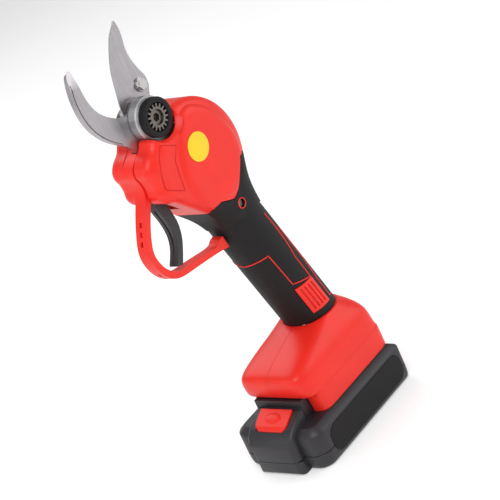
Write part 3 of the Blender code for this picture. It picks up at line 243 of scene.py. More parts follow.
slotFinish = {
    "red_casing": redPlastic, "grip_rubber": gripRubber, "dark_plastic": darkPlastic,
    "blade_steel": bladeSteel, "dark_steel": darkSteel, "bright_steel": brightSteel,
    "cast_aluminium": castAluminium, "yellow_label": yellowFilm, "circuit_board": greenBoard,
    "terminal_copper": platedCopper, "cable_red": redCable, "cable_black": gripRubber,
    "cell_sleeve": blueSleeve,
}
for part in frame["record"]["subparts"]:
    mesh = nodes[part["node"]].data
    mesh.materials.clear()
    mesh.materials.append(slotFinish[part["material_slot"]])

print("shape tools")


def curveThrough(points, steps=5, closed=False):
    # a smooth line through the points
    count = len(points)
    line = []
    for i in range(count if closed else count - 1):
        if closed:
            corners = [Vector(points[(i + k) % count]) for k in (-1, 0, 1, 2)]
        else:
            corners = [Vector(points[max(0, min(count - 1, i + k))]) for k in (-1, 0, 1, 2)]
        a, b, c, d = corners
        for k in range(steps):
            t = k / steps
            line.append(tuple(0.5 * (2 * b + (c - a) * t + (2 * a - 5 * b + 4 * c - d) * t * t
                                     + (3 * b - a - 3 * c + d) * t * t * t)))
    if not closed:
        line.append(tuple(points[-1]))
    return line


def arcLine(centre, radius, start, end, steps):
    line = []
    for i in range(steps + 1):
        angle = math.radians(start + (end - start) * i / steps)
        line.append((centre[0] + radius * math.cos(angle), centre[1] + radius * math.sin(angle)))
    return line


def soften(piece, angle=32):
    piece.data.shade_smooth()
    piece.data.set_sharp_from_angle(angle=math.radians(angle))


def toObject(name, bm):
    bmesh.ops.recalc_face_normals(bm, faces=bm.faces)
    mesh = bpy.data.meshes.new(name)
    bm.to_mesh(mesh)
    bm.free()
    made = bpy.data.objects.new(name, mesh)
    scene.collection.objects.link(made)
    soften(made)
    return made


def skin(name, rings):
    # a closed skin through rings of points in millimetres
    bm = bmesh.new()
    rows = [[bm.verts.new(Vector(point) * mm) for point in ring] for ring in rings]
    for first, second in zip(rows, rows[1:]):
        for i in range(len(first)):
            j = (i + 1) % len(first)
            bm.faces.new((first[i], first[j], second[j], second[i]))
    bm.faces.new(rows[0][::-1])
    bm.faces.new(rows[-1])
    return toObject(name, bm)


def slab(name, outline, low, high):
    # a flat piece between two values of y, from its (x, z) outline
    return skin(name, [[(x, y, z) for x, z in outline] for y in (low, high)])


def circle(middle, across, other, radius, steps):
    turns = [2 * math.pi * i / steps for i in range(steps)]
    return [middle + (across * math.cos(turn) + other * math.sin(turn)) * radius for turn in turns]


def turnedPiece(name, profile, start, direction, steps=64):
    # a profile of (radius, distance) turned round an axis
    aim = Vector(direction).normalized()
    across = aim.orthogonal().normalized()
    other = aim.cross(across)
    bm = bmesh.new()
    rows = []
    for radius, along in profile:
        middle = Vector(start) + aim * along
        points = circle(middle, across, other, radius, steps) if radius else [middle]
        rows.append([bm.verts.new(point * mm) for point in points])
    closed = profile[0][0] != 0 and profile[-1][0] != 0
    for first, second in zip(rows, rows[1:] + rows[:1] if closed else rows[1:]):
        for i in range(steps):
            j = (i + 1) % steps
            corners = [first[i % len(first)], first[j % len(first)],
                       second[j % len(second)], second[i % len(second)]]
            corners = list(dict.fromkeys(corners))
            if len(corners) > 2:
                bm.faces.new(corners)
    return toObject(name, bm)


def aimAt(line, i):
    # the direction of an open line at one of its points
    return (Vector(line[min(len(line) - 1, i + 1)]) - Vector(line[max(0, i - 1)])).normalized()


def tube(name, points, radius, sides=8):
    # a round bead through points in millimetres; no part of it may run along side
    side = Vector((0.2, 0.95, 0.1))
    rings = []
    for i, point in enumerate(points):
        aim = aimAt(points, i)
        across = aim.cross(side).normalized()
        rings.append(circle(Vector(point), across, aim.cross(across), radius, sides))
    return skin(name, rings)


def combine(piece, operation, *others):
    for other in others:
        modifier = piece.modifiers.new("shape", "BOOLEAN")
        modifier.operation = operation
        modifier.object = other
        graph = bpy.context.evaluated_depsgraph_get()
        mesh = bpy.data.meshes.new_from_object(piece.evaluated_get(graph))
        piece.modifiers.clear()
        piece.data = mesh
        bpy.data.objects.remove(other, do_unlink=True)
    soften(piece)
    return piece


def cutFrom(piece, *others):
    return combine(piece, "DIFFERENCE", *others)


def addTo(piece, *others):
    return combine(piece, "UNION", *others)


def copyOf(piece, name):
    other = piece.copy()
    other.data = piece.data.copy()
    other.name = name
    scene.collection.objects.link(other)
    return other


def gather(name, first, *others):
    # several shells kept as one piece
    bm = bmesh.new()
    for piece in (first, *others):
        bm.from_mesh(piece.data)
    bm.to_mesh(first.data)
    bm.free()
    for piece in others:
        bpy.data.objects.remove(piece, do_unlink=True)
    first.name = name
    soften(first)
    return first


def roundEdges(piece, width, segments=3, angle=35):
    bevel = piece.modifiers.new("edges", "BEVEL")
    bevel.width, bevel.segments = width * mm, segments
    bevel.limit_method, bevel.angle_limit = "ANGLE", math.radians(angle)
    bevel.harden_normals = True
    return piece


def settle(piece, body, slotName, *replaced):
    # rides on its body, takes its finish from the slot, and stands for CAD nodes
    piece.data.materials.clear()
    piece.data.materials.append(slotFinish[slotName])
    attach(piece, body)
    if replaced:
        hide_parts(*replaced)


def rodAcross(name, place, low, high, radius, steps=48):
    profile = [(0, 0), (radius, 0), (radius, high - low), (0, high - low)]
    return turnedPiece(name, profile, (place[0], low, place[1]), (0, 1, 0), steps)


def ovalRing(x, halfDepth, halfWidth, z, power=2.0, steps=72):
    ring = []
    for i in range(steps):
        angle = 2 * math.pi * (i + 0.5) / steps
        c, s = math.cos(angle), math.sin(angle)
        ring.append((x + halfDepth * math.copysign(abs(c) ** (2 / power), c),
                     halfWidth * math.copysign(abs(s) ** (2 / power), s), z))
    return ring


def sectionSkin(name, sections, smaller=0.0, steps=4, sides=72):
    # through sections of height, front, back, half width and squareness, smoothed in height
    rings = []
    for z, front, back, half, power in curveThrough(sections, steps):
        depth = (back - front) / 2
        rings.append(ovalRing((front + back) / 2, depth - smaller, half - smaller, z, power, sides))
    return skin(name, rings)


def smallerLine(outline, distance):
    # the outline moved inwards
    count = len(outline)
    area = sum(outline[i][0] * outline[(i + 1) % count][1] - outline[(i + 1) % count][0] * outline[i][1]
               for i in range(count))
    sign = 1 if area > 0 else -1
    moved = []
    for i in range(count):
        before, here, after = (Vector(outline[(i + k) % count]) for k in (-1, 0, 1))
        aim = (after - before).normalized()
        moved.append(tuple(here + Vector((-aim.y, aim.x)) * distance * sign))
    return moved


pivot = (-38.5, 268.5)
driveTilt = math.radians(22)
driveAim = Vector((math.sin(driveTilt), 0, -math.cos(driveTilt)))


def onDrive(distance):
    return Vector((pivot[0], 0, pivot[1])) + driveAim * distance


print("head and grip")

head = {
    # layers are (scale, half width), and throat's sections are as sectionSkin takes them
    "nose": [(-52.0, 258.2), (-55.5, 254.0), (-61.5, 250.6), (-65.6, 246.3), (-66.6, 241.4), (-64.8, 236.4),
             (-64.0, 230.5), (-64.6, 224.5), (-61.5, 219.0), (-53.0, 213.4), (-44.0, 204.4), (-37.5, 197.6),
             (-31.5, 191.0), (-24.8, 182.0), (-20.2, 172.0)],
    "back": [(20.6, 172.0), (17.6, 182.5), (16.8, 191.5), (17.4, 200.5)],
    "top": [(-33.0, 265.0), (-42.5, 261.4)],
    "dome": (-21.0, 225.0), "domeRadius": 42.5, "domeTurn": (-21, 96),
    "layers": [(1.0, 0.0), (1.0, 11.0), (1.0, 12.5), (0.985, 15.0), (0.95, 17.0), (0.89, 18.6), (0.82, 19.6),
               (0.74, 19.8)],
    "centre": (-24.0, 221.0),
    "throat": [(164.0, -18.6, 22.6, 19.6, 2.0), (172.0, -21.6, 21.0, 19.7, 2.1),
               (182.0, -27.0, 18.9, 19.8, 2.5), (192.0, -36.0, 18.4, 20.0, 3.0),
               (202.0, -50.0, 18.6, 21.0, 4.0), (214.0, -70.0, 22.0, 22.0, 5.0),
               (225.0, -74.0, 25.5, 26.0, 7.0), (236.0, -80.0, 32.0, 30.0, 9.0),
               (280.0, -84.0, 32.0, 30.0, 9.0)],
    "boundary": [(60.0, 211.5), (7.5, 211.5), (6.0, 209.0), (-7.5, 191.5), (-11.0, 190.4), (-24.5, 196.3),
                 (-29.5, 195.6), (-35.0, 191.6), (-60.0, 190.5)],
    "swell": [(-36.5, 241.5), (-40.6, 229.0), (-40.8, 217.0), (-37.6, 205.5), (-29.0, 196.5), (-16.0, 192.5),
              (-2.0, 196.0), (8.0, 206.0), (12.5, 221.0), (8.5, 238.0), (-0.5, 251.5), (-13.0, 259.5),
              (-25.0, 258.0), (-32.0, 251.0)],
    "swellCentre": (-16.0, 227.0),
    "swellLayers": [(1.10, 16.5), (1.075, 18.9), (1.035, 20.3), (0.985, 21.3), (0.92, 21.9), (0.85, 22.15),
                    (0.78, 22.2)],
    "recess": [(-49.3, 253.2), (-47.6, 253.2), (-37.6, 247.2), (-37.4, 246.0), (-43.2, 238.6),
               (-44.9, 231.0), (-46.3, 219.8), (-47.4, 218.9), (-59.6, 226.9), (-60.2, 228.6),
               (-59.0, 239.0), (-55.4, 246.2)],
    "recessWidth": 0.55, "recessDepth": 0.4, "wall": 2.2, "gap": 0.3,
    # where the guard meets the head, and the rooms inside
    "guardLine": [(-64.0, 221.0), (-60.4, 226.5), (-59.4, 232.0), (-60.6, 238.0), (-61.0, 242.0),
                  (-58.0, 246.2), (-52.0, 249.6)],
    "bladeRoom": [(-45, 241), (-26, 243), (-21, 258), (-19, 300), (-90, 300)], "bladeRoomSides": (-5.15, 5.0),
    "bossRoom": [(0, 0), (14.8, 0), (14.8, 11.6), (15.3, 13.2), (16.5, 15.0), (18.5, 17.0), (18.5, 50),
                 (0, 50)],
    "bossStart": -4.05,
    "sectorRoom": {"low": 3.4, "high": 11.1, "radius": 23.9, "front": -51.7},
    "hubRadius": 10.5,
    "motorRoom": {"radius": 14.7, "start": 24, "length": 75},
    "triggerSlot": [(-66, 232), (-66, 205), (-50, 200), (-42, 205), (-45, 214), (-49, 232)],
    "triggerSlotHalf": 4.2,
}


def headSolid(name, settings, smaller=0.0, steps=5):
    dome = arcLine(settings["dome"], settings["domeRadius"], *settings["domeTurn"], 48)
    outline = curveThrough(settings["nose"], steps) + curveThrough(settings["back"], steps) + dome
    outline += settings["top"]
    if smaller:
        outline = smallerLine(outline, smaller)
    cx, cz = settings["centre"]
    layers = curveThrough(settings["layers"], 3)
    rings = []
    for scale, half in [(s, -h) for s, h in layers[:0:-1]] + layers:
        half -= math.copysign(smaller, half) if half else 0
        rings.append([(cx + (x - cx) * scale, half, cz + (z - cz) * scale) for x, z in outline])
    solid = skin(name, rings)
    return combine(solid, "INTERSECT", sectionSkin("throat", settings["throat"], smaller))


def swellSolid(settings, side):
    cx, cz = settings["swellCentre"]
    line = curveThrough(settings["swell"], 6, True)
    rings = [[(cx + (x - cx) * scale, side * y, cz + (z - cz) * scale) for x, z in line]
             for scale, y in curveThrough(settings["swellLayers"], 3)]
    return skin("swell", rings)


handle = {"middle": 4.7, "middleHeight": 154.5, "lean": 0.288, "depth": 20.4, "width": 19.4, "thickness": 2.0,
          "bottom": 76.0, "top": 186.0, "bore": (60, 215)}


def handleX(settings, z):
    return settings["middle"] - settings["lean"] * (z - settings["middleHeight"])


def handleSkin(name, settings, smaller, low, high, count=16):
    depth, width = settings["depth"] - smaller, settings["width"] - smaller
    levels = [low + (high - low) * k / count for k in range(count + 1)]
    return skin(name, [ovalRing(handleX(settings, z), depth, width, z) for z in levels])


def cutRecesses(piece, settings):
    # a thin groove round the flat area on each side of the nose
    floor = settings["recessDepth"]
    for side in (-1, 1):
        low, high = sorted((side * 4, side * 40))
        panel = slab("panel", settings["recess"], low, high)
        inner = smallerLine(settings["recess"], settings["recessWidth"])
        cutFrom(panel, slab("panelInner", inner, low - 1, high + 1))
        cutFrom(panel, headSolid("panelFloor", settings, floor, 3))
        cutFrom(piece, panel)


def cutRooms(piece, settings):
    # the room for the blades, the boss, the sector gear, the hub, the motor and the trigger
    gap, sector, motor = settings["gap"], settings["sectorRoom"], settings["motorRoom"]
    room = [(-90, 216)] + [(x + gap, z - gap) for x, z in settings["guardLine"]] + settings["bladeRoom"]
    cutFrom(piece, slab("frontRoom", room, *settings["bladeRoomSides"]))
    start = (pivot[0], settings["bossStart"], pivot[1])
    cutFrom(piece, turnedPiece("bossRoom", settings["bossRoom"], start, (0, -1, 0), 96))
    sectorRoom = rodAcross("sectorRoom", pivot, sector["low"], sector["high"], sector["radius"], 96)
    front = sector["front"]
    cutFrom(sectorRoom, slab("noseTop", [(-90, 235), (front, 235), (front, 275), (-90, 275)], 0, 20))
    cutFrom(piece, sectorRoom, rodAcross("hubRoom", pivot, 4, 60, settings["hubRadius"], 64))
    profile = [(0, 0), (motor["radius"], 0), (motor["radius"], motor["length"]), (0, motor["length"])]
    cutFrom(piece, turnedPiece("motorRoom", profile, onDrive(motor["start"]), driveAim))
    half = settings["triggerSlotHalf"]
    cutFrom(piece, slab("triggerSlot", settings["triggerSlot"], -half, half))


def makeHeadAndGrip(settings, grip):
    gap, wall, boundary = settings["gap"], settings["wall"], settings["boundary"]
    red = headSolid("redHead", settings)
    black = copyOf(red, "blackGrip")
    addTo(red, swellSolid(settings, -1), swellSolid(settings, 1))
    cutFrom(red, slab("below", boundary + [(-60, 100), (60, 100)], -60, 60))
    inside = headSolid("inside", settings, wall, 2)
    raised = [(x, z + wall) for x, z in boundary] + [(-90, 100), (60, 100)]
    cutFrom(inside, slab("floorCut", raised, -60, 60))
    cutRecesses(red, settings)
    cutFrom(red, inside)
    cutRooms(red, settings)
    upper = [(x, z - 2 * gap) for x, z in boundary] + [(-90, 190.5), (-90, 300), (60, 300)]
    cutFrom(black, slab("above", upper, -60, 60))
    addTo(black, handleSkin("gripTube", grip, 0, grip["bottom"], grip["top"]))
    cutFrom(black, handleSkin("gripBore", grip, grip["thickness"] - gap, *grip["bore"]))
    return red, black


redHead, blackGrip = makeHeadAndGrip(head, handle)


def halfOf(piece, name, side, seam=0.15):
    half = copyOf(piece, name)
    low, high = (seam, 90) if side < 0 else (-90, -seam)
    return cutFrom(half, slab("side", [(-120, -5), (120, -5), (120, 340), (-120, 340)], low, high))


print("foot")

foot = {
    "sections": [(30.3, -28.0, 54.5, 32.3, 11.0), (44.0, -29.5, 55.6, 31.4, 10.0),
                 (45.4, -34.0, 55.6, 31.2, 9.0), (51.0, -36.6, 55.5, 30.6, 8.0),
                 (58.0, -38.0, 55.4, 29.4, 7.5), (62.8, -36.6, 54.6, 27.8, 6.5),
                 (67.0, -27.0, 53.2, 25.6, 5.0), (71.5, -10.0, 51.0, 22.8, 3.4),
                 (75.7, 5.4, 47.9, 20.6, 2.3)],
    "panel": [(45.5, 51.6), (47.2, 50.6), (46.4, 37.0), (44.8, 35.4), (20.0, 35.2), (-17.0, 35.0),
              (-19.2, 36.2), (-20.6, 44.6), (-19.4, 46.4), (10.0, 48.8)],
    "panelSide": 20.0, "grooveWidth": 0.7, "grooveDepth": 1.0,
    "wall": 2.4, "mouthHalf": 21.3, "mouthHeights": (20, 45.0), "mouthFront": -70,
}


def makeFoot(settings):
    solid = sectionSkin("foot", settings["sections"], 0, 3)
    low, high = settings["sections"][0], settings["sections"][-1]
    hollow = [(low[0] - 5, *low[1:])] + settings["sections"] + [(high[0] + 6, *high[1:])]
    cutFrom(solid, sectionSkin("footHollow", hollow, settings["wall"], 2, 48))
    front, half = settings["mouthFront"], settings["mouthHalf"]
    corners = [(front, -half), (0, -half), (0, half), (front, half)]
    return cutFrom(solid, skin("mouth", [[(x, y, z) for x, y in corners] for z in settings["mouthHeights"]]))


def footGroove(piece, settings):
    outline = curveThrough(settings["panel"], 3, True)
    inner = smallerLine(outline, settings["grooveWidth"])
    for side in (-1, 1):
        low, high = sorted((side * settings["panelSide"], side * 50))
        ring = slab("ring", outline, low, high)
        cutFrom(ring, slab("ringInner", inner, low - 1, high + 1),
                sectionSkin("ringFloor", settings["sections"], settings["grooveDepth"], 3))
        cutFrom(piece, ring)


footSolid = makeFoot(foot)
footGroove(footSolid, foot)

screws = {
    # x, z, the side the head is on, and the depth of its seat
    "places": [(-6.6, 184.2, -1, 16.2), (3.0, 240.0, 1, 15.4), (4.0, 118.0, 1, 10.6), (44.0, 52.0, 1, 20.0)],
    "boreRadius": 3.0, "clear": 0.3,
}


def screwBores(piece, side, settings):
    for x, z, screwSide, seat in settings["places"]:
        if screwSide == side:
            low, high = sorted((side * (seat - settings["clear"]), side * 60))
            cutFrom(piece, rodAcross("headBore", (x, z), low, high, settings["boreRadius"], 32))


for side, name in ((-1, "Left"), (1, "Right")):
    shell = gather("housing" + name, halfOf(redHead, "headHalf", side), halfOf(footSolid, "footHalf", side))
    screwBores(shell, side, screws)
    settle(shell, "casing", "red_casing", "housing_" + name.lower())
for piece in (redHead, footSolid):
    bpy.data.objects.remove(piece, do_unlink=True)

gripLines = {
    # points as (angle round the handle, height)
    "panel": [(283, 106.5), (240, 110.5), (237.5, 139.5), (205, 138.0), (181, 137.0)],
    "front": [(283, 106.5), (284, 126.0), (292, 138.5), (295, 152.0), (294, 166.0)],
    "rear": [(309, 150.0), (307, 138.5), (306.5, 119.5), (297, 100.0), (296, 83.5), (309, 82.5)],
    "rise": 0.05, "radius": 0.42,
}


def onHandle(settings, angle, z, out=0.0):
    turn = math.radians(angle)
    return Vector((handleX(settings, z) + (settings["depth"] + out) * math.cos(turn),
                   (settings["width"] + out) * math.sin(turn), z))


def gripLine(name, points, side, lines, grip):
    dense = []
    for (a, z), (b, w) in zip(points, points[1:]):
        count = max(2, int(abs(b - a) / 3 + abs(w - z) / 4))
        dense += [(a + (b - a) * k / count, z + (w - z) * k / count) for k in range(count)]
    dense.append(points[-1])
    path = [onHandle(grip, a, z, lines["rise"]) for a, z in dense]
    return tube(name, [(x, y if side < 0 else -y, z) for x, y, z in path], lines["radius"])


insert = {
    "low": 82.0, "high": 106.0, "start": 236.0, "end": 284.0, "depth": 1.5, "proud": 0.5,
    "ribs": 4, "ribMargin": 2.2, "ribTurn": 1.7, "ribDepth": 0.7, "clear": 0.3, "clearTurn": 1, "edge": 0.25,
}


def handlePatch(name, settings, low, high, start, end, inner, outer, steps=16, levels=9):
    # a curved plate on the handle, from inner to outer depth
    angles = [start + (end - start) * i / steps for i in range(steps + 1)]
    rings = []
    for k in range(levels):
        z = low + (high - low) * k / (levels - 1)
        ring = [onHandle(settings, angle, z, -outer) for angle in angles]
        rings.append(ring + [onHandle(settings, angle, z, -inner) for angle in reversed(angles)])
    return skin(name, rings)


def flipped(piece, name):
    other = copyOf(piece, name)
    other.data.transform(Matrix.Scale(-1, 4, (0, 1, 0)))
    other.data.flip_normals()
    return other


def makeInsert(settings, grip):
    low, high, start, end = (settings[k] for k in ("low", "high", "start", "end"))
    depth, clear, clearTurn = settings["depth"], settings["clear"], settings["clearTurn"]
    margin, turn = settings["ribMargin"], settings["ribTurn"]
    piece = handlePatch("gripInsertLeft", grip, low, high, start, end, depth, -settings["proud"])
    for k in range(settings["ribs"]):
        middle = start + (end - start) * (k + 1) / (settings["ribs"] + 1)
        cutFrom(piece, handlePatch("rib", grip, low + margin, high - margin, middle - turn, middle + turn,
                                   settings["ribDepth"], -1.5, 2, 3))
    window = handlePatch("window", grip, low - clear, high + clear, start - clearTurn, end + clearTurn,
                         depth + clear, -2.0)
    return piece, window


insertLeft, windowLeft = makeInsert(insert, handle)
insertRight = flipped(insertLeft, "gripInsertRight")
windowRight = flipped(windowLeft, "windowRight")
inserts = ((-1, "Left", insertLeft, windowLeft), (1, "Right", insertRight, windowRight))
for side, name, made, window in inserts:
    settle(roundEdges(made, insert["edge"], 2), "casing", "red_casing", "grip_insert_" + name.lower())
    half = halfOf(blackGrip, "grip" + name, side)
    cutFrom(half, window)
    screwBores(half, side, screws)
    settle(half, "casing", "grip_rubber", "grip_" + name.lower())
    for line in ("panel", "front", "rear"):
        bead = gripLine(line + "Line" + name, gripLines[line], side, gripLines, handle)
        settle(bead, "casing", "red_casing")
bpy.data.objects.remove(blackGrip, do_unlink=True)

ring = {"profile": [(3.1, 0), (3.7, 0), (3.7, 0.75), (3.1, 0.75)], "level": -19.3}
ringX, ringZ = screws["places"][0][:2]
screwRing = turnedPiece("screwRing", ring["profile"], (ringX, ring["level"], ringZ), (0, -1, 0))
settle(screwRing, "casing", "red_casing")

print("guard and trigger")

guard = {
    "outer": [(-52.4, 257.8), (-56.0, 253.6), (-61.8, 250.2), (-66.2, 246.3), (-67.2, 241.4), (-65.6, 236.0),
              (-65.2, 230.5), (-67.6, 224.8), (-73.0, 217.0), (-78.6, 208.0), (-83.4, 198.0), (-84.2, 189.0),
              (-81.0, 179.0), (-75.0, 171.2), (-66.5, 167.0), (-50.0, 164.4), (-30.0, 161.2), (-19.0, 158.6)],
    "inner": [(-20.6, 168.0), (-24.5, 167.4), (-30.0, 165.4), (-50.0, 168.6), (-65.0, 171.2), (-71.8, 174.8),
              (-77.0, 181.2), (-79.6, 189.4), (-79.0, 196.4), (-74.8, 205.4), (-69.2, 214.0),
              *head["guardLine"]],
    "half": 4.5, "edge": 0.9,
    "bladeGap": [(-66, 270), (-64.5, 263.4), (-57.95, 256.7), (-54.0, 248.6), (-47.6, 247.0), (-44, 270)],
    "bladeGapSides": (-9, 0.15),
    "slotRows": [[(-76.0, 212.2), (-79.0, 207.0), (-81.6, 201.4)],
                 [(-79.6, 176.8), (-76.2, 172.6), (-72.0, 169.6)]],
    "slotLength": 3.4, "slotReach": 2.4, "slotHalf": 1.0,
}


def makeGuard(settings):
    outline = curveThrough(settings["outer"], 6) + curveThrough(settings["inner"], 6)
    piece = slab("triggerGuard", outline, -settings["half"], settings["half"])
    cutFrom(piece, slab("bladeGap", settings["bladeGap"], *settings["bladeGapSides"]))
    for row in settings["slotRows"]:
        for i, place in enumerate(row):
            # the last slot of a row lies along the same line as the one before it
            start = min(i, len(row) - 2)
            along = (Vector(row[start + 1]) - Vector(row[start])).normalized()
            side = Vector((-along.y, along.x)) * settings["slotReach"]
            half = along * settings["slotLength"] / 2
            centre = Vector(place)
            corners = [centre + half + side, centre - half + side, centre - half - side, centre + half - side]
            slot = slab("slot", [tuple(c) for c in corners], -settings["slotHalf"], settings["slotHalf"])
            cutFrom(piece, slot)
    return roundEdges(piece, settings["edge"], 3, 50)


settle(makeGuard(guard), "casing", "red_casing", "trigger_guard")

trigger = {
    "front": [(-60.4, 221.0), (-60.4, 213.0), (-58.2, 204.0), (-57.0, 196.0), (-57.6, 189.0), (-60.4, 182.4),
              (-66.4, 174.6)],
    "back": [(-61.2, 172.8), (-54.2, 183.4), (-51.2, 190.0), (-49.8, 197.5), (-50.4, 205.0), (-51.4, 213.0),
             (-51.6, 220.0)],
    "half": 3.7, "pin": (-56.0, 225.0), "pinRadius": 1.7, "hubRadius": 4.0, "edge": 1.0,
    "magnet": (-55.4, 216.0), "magnetRadius": 2.3, "magnetDepth": 2.0,
    "grooveHalf": 0.7, "grooveClear": 0.6, "grooveInto": (0.9, 0.3),
}


def makeTrigger(settings):
    hub = arcLine(settings["pin"], settings["hubRadius"], -10, 190, 16)
    outline = curveThrough(settings["front"], 6) + curveThrough(settings["back"], 6) + hub
    half, grooveHalf = settings["half"], settings["grooveHalf"]
    piece = slab("triggerBlade", outline, -half, half)
    cutFrom(piece, rodAcross("pinBore", settings["pin"], -9, 9, settings["pinRadius"], 32))
    cutFrom(piece, rodAcross("magnetSeat", settings["magnet"], half - settings["magnetDepth"], 9,
                             settings["magnetRadius"], 32))
    line = curveThrough(settings["front"][1:], 6)
    clear, (into, up) = settings["grooveClear"], settings["grooveInto"]
    groove = [(x - clear, z) for x, z in line] + [(x + into, z + up) for x, z in reversed(line)]
    cutFrom(piece, slab("frontGroove", groove, -grooveHalf, grooveHalf))
    return roundEdges(piece, settings["edge"], 3, 50)


settle(makeTrigger(trigger), "trigger", "dark_plastic", "trigger")

print("blades")

blades = {
    "fixedOuter": [(-74.2, 323.6), (-78.6, 322.0), (-81.4, 316.5), (-83.4, 307.5), (-83.6, 296.0),
                   (-81.4, 286.0), (-77.3, 278.0), (-71.5, 270.5), (-64.0, 263.8), (-57.5, 257.0),
                   (-53.5, 249.0), (-47.5, 247.5), (-44.0, 252.5), (-38.0, 255.5)],
    "fixedInner": [(-46.0, 277.6), (-52.4, 277.8), (-59.4, 281.0), (-66.6, 286.8), (-71.6, 293.5),
                   (-74.4, 302.5), (-75.0, 312.0)],
    "fixedLow": -4.65, "fixedHigh": -0.15, "fixedHub": 12.8, "fixedEdge": 0.35,
    "groove": (0.5, 1.15), "grooveDepth": 1.0,
    "facetEdge": ((-95, 316.0), (-60, 309.6)), "facetTop": 325, "facetRise": 4.0, "facetSide": -9,
    "movingBack": [(-22.0, 330.2), (-21.0, 324.5), (-21.6, 318.5), (-23.2, 311.0), (-22.8, 303.0),
                   (-20.2, 294.5), (-17.6, 288.0), (-18.0, 282.0)],
    "movingFront": [(-48.0, 274.0), (-48.4, 281.0), (-45.4, 293.5), (-42.3, 304.5), (-37.2, 314.5),
                    (-31.0, 323.5)],
    "movingLow": 0.15, "movingHigh": 3.45, "movingHub": 13.4, "movingEdge": 0.2,
    "pastTip": [(-22.0, 333.5), (-12.0, 342.0)], "grindWidth": 7.0, "edgeLeft": 0.7,
    "bore": 4.3, "smallBore": 2.3, "tangScrew": (-49.3, 250.8), "bladeBolt": (-25.1, 286.0),
    "washer": [(2.1, 0), (4.3, 0), (4.6, 0.25), (4.6, 0.7), (4.3, 0.9), (2.1, 0.9)],
}


def leftOf(line, i):
    aim = aimAt(line, i)
    return Vector((-aim.y, aim.x))


def movedLine(line, distance):
    return [tuple(Vector(point) + leftOf(line, i) * distance) for i, point in enumerate(line)]


def grindWedge(name, line, width, flat, edge, reach=1.5):
    # what a grinder takes off to the right of a line: from the flat side down to the edge, at the line
    lift = (edge - flat) * reach / width
    clear = flat - math.copysign(2, edge - flat)
    rings = []
    for i, point in enumerate(line):
        left = leftOf(line, i)
        inner, outer = Vector(point) - left * width, Vector(point) + left * reach
        rings.append([(inner.x, flat, inner.y), (outer.x, edge + lift, outer.y), (outer.x, clear, outer.y),
                      (inner.x, clear, inner.y)])
    return skin(name, rings)


def boreBlade(piece, small, settings):
    for place, radius in ((pivot, settings["bore"]), (settings[small], settings["smallBore"])):
        cutFrom(piece, rodAcross("bore", place, -20, 20, radius))


def makeFixedBlade(settings):
    low, high, top = settings["fixedLow"], settings["fixedHigh"], settings["facetTop"]
    hub = arcLine(pivot, settings["fixedHub"], -60, 100, 32)
    outer, inner = (curveThrough(settings[key], 6) for key in ("fixedOuter", "fixedInner"))
    blade = slab("fixedBlade", outer + hub + inner, low, high)
    line = curveThrough(settings["fixedOuter"][2:9], 6)
    near, far = (movedLine(line, distance) for distance in settings["groove"])
    cutFrom(blade, slab("groove", near + far[::-1], low - 1, low + settings["grooveDepth"]))
    side, rise = settings["facetSide"], settings["facetRise"]
    facet = [[(x, side, z), (x, low - 0.01, z), (x, low + rise, top), (x, side, top)]
             for x, z in settings["facetEdge"]]
    cutFrom(blade, skin("tipFacet", facet))
    boreBlade(blade, "tangScrew", settings)
    return roundEdges(blade, settings["fixedEdge"], 2, 40)


def makeMovingBlade(settings):
    low, high = settings["movingLow"], settings["movingHigh"]
    hub = arcLine(pivot, settings["movingHub"], 0, -110, 28)
    back, front = (curveThrough(settings[key], 6) for key in ("movingBack", "movingFront"))
    blade = slab("movingBlade", back + hub + front, low, high)
    line = front[4:] + settings["pastTip"]
    cutFrom(blade, grindWedge("grind", line, settings["grindWidth"], high, low + settings["edgeLeft"]))
    boreBlade(blade, "bladeBolt", settings)
    return roundEdges(blade, settings["movingEdge"], 2, 40)


settle(makeFixedBlade(blades), "casing", "blade_steel", "fixed_blade")
settle(makeMovingBlade(blades), "moving_blade", "blade_steel", "moving_blade")

for name in ("blade_nut", "blade_bolt"):
    nodes[name].data.materials[0] = brightSteel
washerX, washerZ = blades["bladeBolt"]
washerPlace = (washerX, blades["movingLow"] + 0.02, washerZ)
washer = turnedPiece("bladeWasher", blades["washer"], washerPlace, (0, -1, 0))
settle(washer, "moving_blade", "bright_steel")

print("pivot")

pivotSet = {
    "disc": [(5.3, 0), (12.7, 0), (13.0, 0.3), (13.0, 3.9), (12.75, 4.4), (12.2, 4.7), (10.0, 4.7),
             (9.55, 4.5), (9.3, 4.1), (9.3, 1.5), (5.3, 1.5)],
    "discBack": -13.25, "nutBack": -15.05, "nutDepth": 2.4, "nutBore": 5.0,
    "teeth": 16, "tip": 8.9, "root": 6.5, "tipRound": 0.3, "rootRound": 0.4, "edge": 0.2,
}


def makePivot(settings):
    discPlace = (pivot[0], settings["discBack"], pivot[1])
    disc = turnedPiece("lockDisc", settings["disc"], discPlace, (0, -1, 0), 96)
    root, tip = settings["root"], settings["tip"]
    # half a tooth, as (radius, share of a tooth's pitch from its middle)
    flank = [(root, 0.33), (root + settings["rootRound"], 0.27),
             (tip - settings["tipRound"], 0.17), (tip, 0.12)]
    tooth = [(radius, -share) for radius, share in flank] + flank[::-1]
    outline = []
    for i in range(settings["teeth"]):
        for radius, share in tooth:
            angle = 2 * math.pi * (i + share) / settings["teeth"]
            outline.append((pivot[0] + radius * math.cos(angle), pivot[1] + radius * math.sin(angle)))
    nut = slab("splinedNut", outline, settings["nutBack"] - settings["nutDepth"], settings["nutBack"])
    cutFrom(nut, rodAcross("bore", pivot, -40, 0, settings["nutBore"]))
    return disc, roundEdges(nut, settings["edge"], 2, 40)


nodes["pivot_bolt"].data.materials[0] = darkSteel
lockDisc, splinedNut = makePivot(pivotSet)
settle(lockDisc, "casing", "grip_rubber", "lock_disc")
settle(splinedNut, "casing", "dark_steel", "splined_nut")

print("battery pack")

